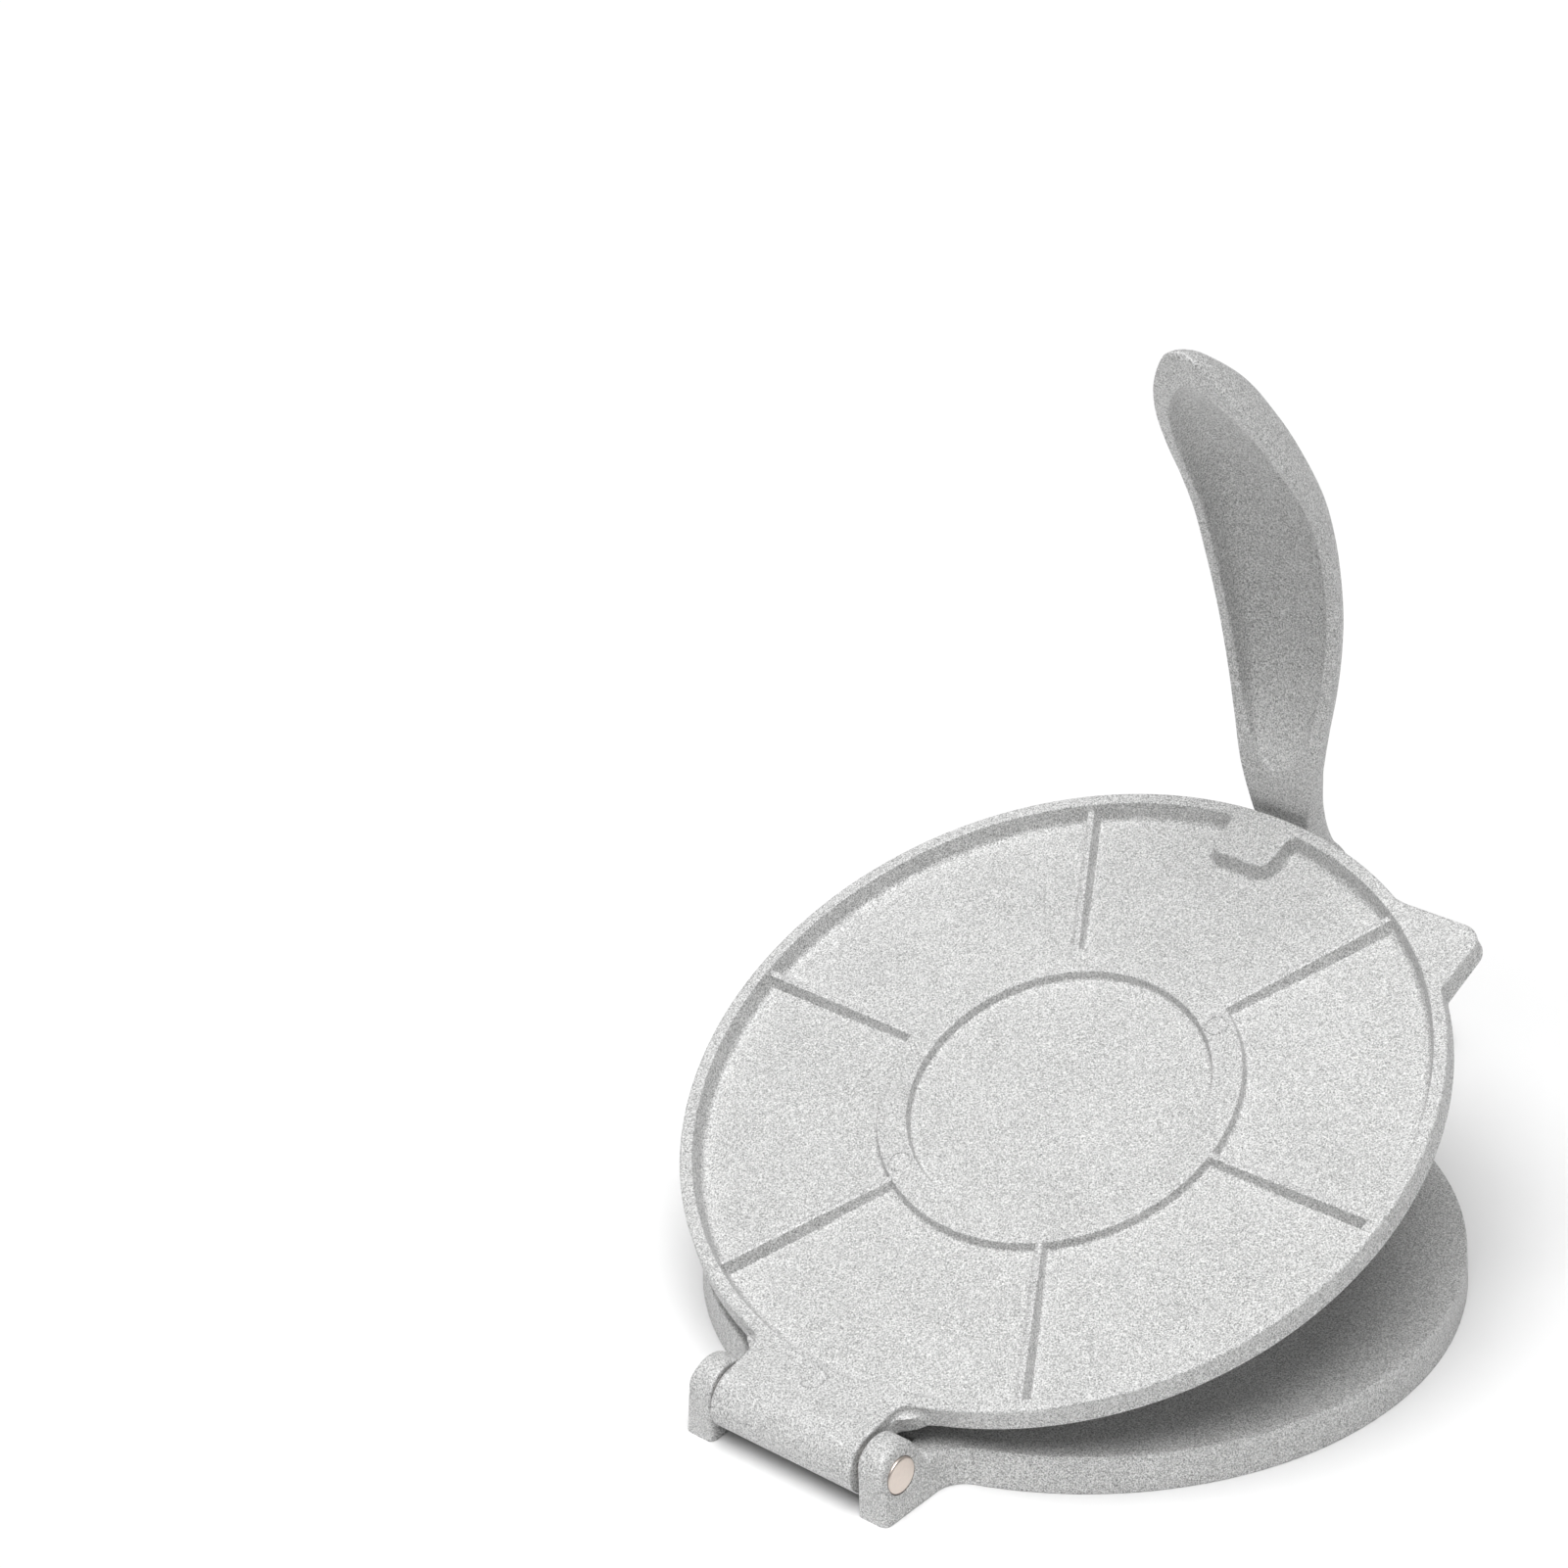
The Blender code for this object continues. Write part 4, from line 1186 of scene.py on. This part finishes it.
    def lug(self) -> Shell:
        """One lug on the +X side: rounded sections across X along the crown's line.

        Each section runs round a box from the sole to the crown. Its outer side follows the flare to the
        bed and leans in by a share of the height, and the last sections draw in to round the rear edges.

        Returns:
            The surface.
        """
        crown = self.lug_crown()
        y, top = crown[:, :1], crown[:, 1:]
        flare, upright = self.lug_flare, self.draft / self.height
        centre_x = self.lug_outer + flare
        centre_y = math.sqrt((self.radius + flare) ** 2 - centre_x**2)
        beside = np.clip(y, centre_y * self.radius / (self.radius + flare), centre_y)
        into = np.clip((y - (self.lug_rear - self.ear_edge)) / self.ear_edge, 0, 1)
        draw = self.ear_edge * (1 - np.sqrt(1 - into**2))
        blend = np.clip((y - self.lug_blend[0]) / self.lug_blend[1], 0, 1)
        outer = self.edge + (self.ear_edge - self.edge) * blend
        inner, foot, sole = np.minimum(outer, self.lug_inner_edge), self.foot_edge, self.lift
        low = self.lug_inner + draw * self.lug_inner_draw
        high = centre_x - np.sqrt(flare**2 - (beside - centre_y) ** 2) - draw
        turns = np.linspace(0, QUARTER, 7)[None]
        near, far = 1 - np.cos(turns), 1 - np.sin(turns)
        corners = [
            np.stack(np.broadcast_arrays(x, z), axis=-1)
            for x, z in (
                (high - foot * far, sole + foot * near), (high - outer * near, top - outer * far),
                (low + inner * far, top - inner * near), (low + foot * near, sole + foot * far),
            )
        ]
        share = np.linspace(0, 1, 10)[1:-1][None, :, None]
        up, down = (
            corners[k][:, -1:] + (corners[k + 1][:, :1] - corners[k][:, -1:]) * share for k in (0, 2)
        )
        section = np.concatenate((corners[0], up, corners[1], corners[2], down, corners[3]), axis=1)
        x, z = section[..., 0], section[..., 1]
        lean = upright + (self.ear_lean - upright) * blend
        x = x - lean * z * np.clip((x - low) / (high - low), 0, 1)
        grid = np.stack((x, np.broadcast_to(y, x.shape), z), axis=-1)
        return trimmed(grid_shell(grid), [bore(self.hinge_bore, HINGE_REACH, HINGE_HEIGHT)])

    def lever_ear(self) -> Shell:
        """One ear of the lever's pin on the +X side: a U-topped slab with a fillet at its foot.

        Returns:
            The surface.
        """
        half, top, flare = self.lever_ear_half, self.lever_ear_top, self.lever_ear_flare
        low = self.height + self.plinth_height
        crown = arc((-LEVER_REACH, top - half), half, 0, math.pi, 40)
        front, rear = -LEVER_REACH - half - flare, -LEVER_REACH + half + flare
        left = arc((front, low + flare), flare, 0, -QUARTER, 5)
        right = arc((rear, low + flare), flare, 1.5 * math.pi, math.pi, 5)
        under = np.array(((front, low - self.sink), (rear, low - self.sink)))
        outline = np.vstack((crown, left, under, right))
        ear = across_x(outline, slab_levels(self.lever_ear_inner, self.lever_ear_outer, self.lever_ear_edge))
        return trimmed(ear, [bore(self.lever_bore, -LEVER_REACH, LEVER_HEIGHT)])

    def block(self, half_x: float, low_y: float, high_y: float, rise: float, edges: Edges) -> Shell:
        """A low block on the tongue with rounded corners, a rounded upper edge and a small foot.

        Args:
            half_x: Half its width.
            low_y: Its front.
            high_y: Its back.
            rise: Its height over the bed.
            edges: Radius of its corners in plan and of its upper edge.

        Returns:
            The surface.
        """
        corner, edge = edges
        places = ((half_x, low_y), (half_x, high_y), (-half_x, high_y), (-half_x, low_y))
        outline = rounded([(x, y, corner) for x, y in places])
        height, foot_reach, foot_rise = self.height, self.block_foot, self.block_foot_rise
        levels = [(-foot_reach, height - self.sink), (-foot_reach, height), (0, height + foot_rise)]
        return grid_shell(carried(outline, levels + crest(height + rise, edge)))

    def build(self, finish: bpy.types.Material) -> None:
        """Builds the casting and puts it on the base's body.

        Args:
            finish: The castings' material.
        """
        lug, ear = self.lug(), self.lever_ear()
        low, high = (-LEVER_REACH + side * self.plinth_half_length for side in (-1, 1))
        plinth = self.block(self.plinth_half_width, low, high, self.plinth_height, self.plinth_edges)
        front = -self.ridge_outer
        ridge = self.block(
            self.ridge_half_length, front, front + self.ridge_width, self.ridge_height, self.ridge_edges
        )
        ribs = [self.under_rib(number * math.pi / 3) for number in range(6)]
        parts = [self.bed(), self.under_ring(), *ribs, lug, mirror_x(lug), ear, mirror_x(ear), plinth, ridge]
        add_piece("base_casting", merged(parts), finish, "base", "base")


@dataclass
class Lever:
    """The lever about its pivot: hollow grip, neck, heel, boss and the bar that presses the plate.

    The grip's table has rows of share of the grip's height, lean of the rim, half width and depth,
    as shares of the sizes below.
    """

    foot: float = 0.0440
    tip: float = 0.1790
    lean: float = 0.0615
    half_width: float = 0.0168
    depth: float = 0.0153
    swell: float = 0.0004
    wall: float = 0.0024
    land: float = 0.0027
    outer_edge: float = 0.0006
    lip: float = 0.0005
    hollow_low: float = 0.196
    hollow_high: float = 0.935
    rows: int = 260
    tip_start: float = 0.985
    tip_draw: float = 0.0012
    box_end: float = 0.19
    floor_power: float = 0.62
    root_half_width: float = 0.0048
    root_edge: float = 0.0013
    web_half_width: float = 0.0032
    cheek_far: float = 0.0092
    arch_radius: float = 0.0165
    boss_radius: float = 0.0076
    bore: float = 0.0031
    swing: float = math.radians(8.0)
    sole_inner: float = 0.0108
    sole_outer: float = 0.0184
    sole_drop: float = 0.01115
    heel_radius: float = 0.0230
    neck_rise: float = 0.0500
    presser_reach: float = 0.0095
    presser_rise: float = 0.0160
    presser_half_side: float = 0.0035
    presser_half_length: float = 0.0100
    presser_edge: float = 0.0010
    table: tuple[tuple[float, ...], ...] = (
        (-0.06, 0.155, 0.235, 0.60),
        (0.00, 0.284, 0.275, 0.76),
        (0.05, 0.350, 0.340, 0.73),
        (0.12, 0.400, 0.420, 0.71),
        (0.19, 0.420, 0.540, 0.73),
        (0.27, 0.419, 0.650, 0.71),
        (0.34, 0.416, 0.750, 0.72),
        (0.42, 0.425, 0.850, 0.71),
        (0.49, 0.447, 0.920, 0.71),
        (0.56, 0.484, 0.965, 0.73),
        (0.64, 0.540, 0.990, 0.78),
        (0.71, 0.617, 0.985, 0.90),
        (0.78, 0.720, 0.920, 1.01),
        (0.86, 0.836, 0.780, 1.01),
        (0.93, 0.932, 0.530, 0.87),
        (0.97, 0.976, 0.330, 0.56),
        (1.00, 1.004, 0.140, 0.24),
    )
    back_shares: tuple[tuple[float, float], ...] = (
        (0.43, 0.96), (0.255, 0.88), (0.075, 0.76), (-0.14, 0.64), (-0.38, 0.52),
        (-0.62, 0.40), (-0.83, 0.28), (-0.96, 0.16), (-1.00, 0.04), (-0.95, -0.08),
    )
    front_shares: tuple[tuple[float, float], ...] = (
        (0.40, 0.38), (0.29, 0.47), (0.24, 0.56), (0.30, 0.64), (0.50, 0.74), (0.74, 0.86), (0.84, 0.96),
    )

    def grip(self) -> Shell:
        """The grip and neck: level sections with a round back, a flat rim and a hollow between two lips.

        The back is a superellipse of the half width and the depth. The hollow's half width is what the
        rim leaves, times sqrt(1 - t^8), where t runs from -1 to 1 between the hollow's two ends.

        Returns:
            The surface, about the pivot.
        """
        first, last = self.table[0][0], 1.0
        place = first + (last - first) * np.sin(np.linspace(0, QUARTER, self.rows)) ** 1.15
        sizes = (self.lean, self.half_width, self.depth)
        lean, width, depth = (smooth_table(self.table, place) * sizes).T
        into = np.clip((place - self.tip_start) / (last - self.tip_start), 0, 0.999)
        closing = np.sqrt(1 - into**2)
        width, depth = (width + self.swell) * closing, depth * closing
        lean = lean + self.swell / 2 - self.tip_draw * (1 - closing)
        middle = (self.hollow_low + self.hollow_high) / 2
        t = (place - middle) / (self.hollow_high - middle)
        held = np.abs(np.clip(t, -1, 1))
        share = np.sqrt(np.clip(1 - held**8.0, 0, 1))
        deep = share * (1 - np.where(t < 0, 0.80, 0.60) * held ** np.where(t < 0, 2.0, 2.5))
        hollow = np.maximum((width - self.land) * share, width * 0.02)
        hollow_depth = np.maximum(depth - self.wall, 0) * deep
        edge = np.minimum(self.outer_edge, 0.35 * np.minimum(width, depth))
        lip = np.minimum(self.lip, 0.6 * np.minimum(hollow, width - edge - hollow))
        lip = np.minimum(lip, hollow_depth * 0.5)
        bend = (1 / (1 + np.clip(1 - place / self.box_end, 0, 1)))[:, None]
        w, d, e, p, h, f, y0 = (
            value[:, None] for value in (width, depth, edge, lip, hollow, hollow_depth, lean)
        )
        around = np.linspace(0, math.pi, 49)[None]
        cosine, sine = np.cos(around), np.abs(np.sin(around))
        back_x = w * np.sign(cosine) * np.abs(cosine) ** bend
        back_y = y0 - e - (d - e) * sine**bend
        quarter = np.linspace(0, QUARTER, 6)[None, 1:]
        flat = np.linspace(0, 1, 5)[None, 1:]
        left_x = np.concatenate((
            -(w - e) - e * np.cos(quarter),
            -(w - e) + (w - e - h - p) * flat,
            -(h + p) + p * np.sin(quarter),
        ), axis=1)
        left_y = np.concatenate((
            y0 - e + e * np.sin(quarter), y0 + 0 * flat, y0 - p + p * np.cos(quarter)
        ), axis=1)
        floor_x = -h * np.sign(cosine) * np.abs(cosine) ** self.floor_power
        floor_y = y0 - p - (f - p) * sine**self.floor_power
        x = np.concatenate((back_x, left_x, floor_x[:, 1:-1], -left_x[:, ::-1]), axis=1)
        y = np.concatenate((back_y, left_y, floor_y[:, 1:-1], left_y[:, ::-1]), axis=1)
        z = self.foot + place[:, None] * (self.tip - self.foot)
        return grid_shell(np.stack((x, y, z + 0 * x), axis=-1), End.CAP, End.POLE)

    def heel_point(self, reach: float) -> tuple[float, float]:
        """A point of the sole, which is level when the lever leans right back."""
        cosine, sine = math.cos(self.swing), math.sin(self.swing)
        return -reach * cosine - self.sole_drop * sine, reach * sine - self.sole_drop * cosine

    def root_outline(self) -> Array:
        """Side view of the root: heel, arch, boss, presser arm, neck and the heel's back, smoothed.

        Beside the two acute corners a few points are left out, so that the rounded rims don't cross.

        Returns:
            Points of (y, z) about the pivot.
        """
        inner, outer = self.heel_point(self.sole_inner), self.heel_point(self.sole_outer)
        sole = math.atan2(inner[1], inner[0]) % (2 * math.pi)
        arch = arc((0, 0), math.hypot(*inner), sole, math.radians(170), 16)
        boss = arc((0, 0), self.boss_radius, math.radians(160), math.radians(375), 40)
        reach, rise, half = self.presser_reach, self.presser_rise, self.presser_half_side
        presser = np.array(((reach, rise - half / 2), (reach, rise + half / 2)))
        scale = np.array((self.heel_radius, self.neck_rise))
        front = smooth_run(np.array(self.front_shares) * scale, 40)
        back = smooth_run(np.vstack((np.array(self.back_shares) * scale, outer)), 60)
        arch, front = np.delete(arch, (1, 2, 3), axis=0), np.delete(front, (-2, -3, -4, -5), axis=0)
        return np.vstack((arch, boss, presser, front, back))

    def root(self) -> Shell:
        """The root's slab with rounded rims, thinned between the ears and bored for the pin.

        Returns:
            The surface, about the pivot.
        """
        half, near, far = self.root_half_width, self.web_half_width, self.cheek_far
        slab = across_x(self.root_outline(), slab_levels(-half, half, self.root_edge))
        spans = ((-far, -near), (near, far))
        cheeks = [cylinder(self.arch_radius, (low, 0, 0), (high, 0, 0), 160) for low, high in spans]
        return trimmed(slab, [*cheeks, bore(self.bore, 0, 0)])

    def presser(self) -> Shell:
        """The square bar that bears on the pad, with rounded ends.

        Returns:
            The surface, about the pivot.
        """
        half, corner, length = self.presser_half_side, self.presser_edge, self.presser_half_length
        (near, far), (low, high) = ((at - half, at + half) for at in (self.presser_reach, self.presser_rise))
        places = ((near, low), (far, low), (far, high), (near, high))
        return across_x(rounded([(y, z, corner) for y, z in places]), slab_levels(-length, length, corner))

    def build(self, finish: bpy.types.Material) -> None:
        """Builds the lever and puts it on its body.

        Args:
            finish: The castings' material.
        """
        shell = merged([self.grip(), self.root(), self.presser()])
        shell.points = shell.points + np.array((0, -LEVER_REACH, LEVER_HEIGHT))
        add_piece("lever_casting", shell, finish, "lever", "handle")


@dataclass
class Pin:
    """A plain turned pin along X with chamfered ends, at a reach behind the disc's centre and a height."""

    name: str
    node: str
    slot: str
    radius: float
    half_length: float
    reach: float
    rise: float
    chamfer: float = 0.0004
    pole: float = 0.0002

    def build(self, finish: bpy.types.Material) -> None:
        """Builds the pin: its profile turned about the axis.

        Args:
            finish: The pins' material.
        """
        radius, half, chamfer, pole = self.radius, self.half_length, self.chamfer, self.pole
        corners = [(pole, -half, 0), (radius, -half, chamfer), (radius, half, chamfer), (pole, half, 0)]
        shell = grid_shell(side_on(lathe(open_path(corners, 4), COLUMNS)), End.POLE, End.POLE)
        shell.points = shell.points + np.array((0, self.reach, self.rise))
        add_piece(self.name, shell, finish, "base", self.node)


@dataclass
class Studio:
    """Camera at the photograph's angle, pale floor and soft light."""

    azimuth: float = math.radians(222.364)
    elevation: float = math.radians(27.762)
    roll: float = math.radians(-2.499)
    shift_right: float = 0.064152
    shift_up: float = -0.102631
    distance: float = 0.944657
    lens: float = 101.14
    sensor: float = 36.0
    gamma: float = 0.85
    sky: float = 0.18
    sun_towards: tuple[float, float, float] = (-0.08, 0.28, 1.0)
    sun_width: float = math.radians(52)
    sun_strength: float = 3.05
    floor_half: float = 3.0
    floor_tone: float = 0.93

    def add(self, name: str, data: bpy.types.ID) -> bpy.types.Object:
        """Links a new object.

        Args:
            name: Its name.
            data: Its mesh, camera or light.

        Returns:
            The object.
        """
        made = bpy.data.objects.new(name, data)
        bpy.context.scene.collection.objects.link(made)
        return made

    def camera(self) -> None:
        """Places the camera: back along the view from the disc's centre, then by the two shifts."""
        level = math.cos(self.elevation)
        back = Vector((
            math.sin(self.azimuth) * level, -math.cos(self.azimuth) * level, math.sin(self.elevation)
        ))
        right = (-back).cross(Vector((0, 0, 1))).normalized()
        up = right.cross(-back)
        cosine, sine = math.cos(self.roll), math.sin(self.roll)
        right, up = cosine * right + sine * up, cosine * up - sine * right
        data = bpy.data.cameras.new("camera")
        data.lens = self.lens
        data.sensor_width = self.sensor
        made = self.add("camera", data)
        turn = Matrix((right, up, back)).transposed().to_4x4()
        place = Vector((0, DISC_CENTRE_Y, 0)) - self.shift_right * right - self.shift_up * up
        made.matrix_world = Matrix.Translation(place + self.distance * back) @ turn
        bpy.context.scene.camera = made

    def floor(self) -> None:
        """Lays a wide pale floor."""
        mesh, half = bpy.data.meshes.new("floor"), self.floor_half
        corners = [(-half, -half, 0), (half, -half, 0), (half, half, 0), (-half, half, 0)]
        mesh.from_pydata(corners, [], [(0, 1, 2, 3)])
        tree, tone = NodeTree("pale_floor"), self.floor_tone
        looks = {"Base Color": (tone, tone, tone, 1), "Roughness": 0.9, "Specular IOR Level": 0.1}
        tree.feed(tree.shader, looks)
        mesh.materials.append(tree.material)
        self.add("floor", mesh)

    def light(self) -> None:
        """Adds a wide soft sun and a pale sky."""
        scene = bpy.context.scene
        scene.view_settings.view_transform = "Standard"
        scene.view_settings.gamma = self.gamma
        data = bpy.data.lights.new("key", "SUN")
        data.angle = self.sun_width
        data.energy = self.sun_strength
        self.add("key", data).rotation_euler = Vector(self.sun_towards).to_track_quat("Z", "Y").to_euler()
        world = bpy.data.worlds.new("studio")
        world.use_nodes = True
        sky = world.node_tree.nodes["Background"]
        sky.inputs["Color"].default_value = (1, 1, 1, 1)
        sky.inputs["Strength"].default_value = self.sky
        scene.world = world


def main() -> None:
    """Builds the studio and the pieces in order."""
    logging.basicConfig(level=logging.INFO, format="%(message)s")
    studio = Studio()
    studio.camera()
    studio.floor()
    studio.light()
    aluminium = CastFinish("cast_aluminium", (0.28, 0.28, 0.28), (0.95, 0.95, 0.945)).material()
    steel = SteelFinish("pin_steel", (0.688, 0.6192, 0.5676), (0.80, 0.72, 0.66)).material()
    for name, node in frame["nodes"].items():
        node.data.materials.clear()
        node.data.materials.append(steel if name.endswith("pin") else aluminium)
    BaseCasting().build(aluminium)
    PressingPlate().build(aluminium)
    Lever().build(aluminium)
    for pin in (
        Pin("hinge_pin", "plate_hinge_pin", "hinge_pin_steel", 0.0040, 0.0261, HINGE_REACH, HINGE_HEIGHT),
        Pin("lever_pin", "handle_pivot_pin", "lever_pin_steel", 0.0030, 0.0083, -LEVER_REACH, LEVER_HEIGHT),
    ):
        pin.build(steel)


if __name__ == "__main__":
    main()
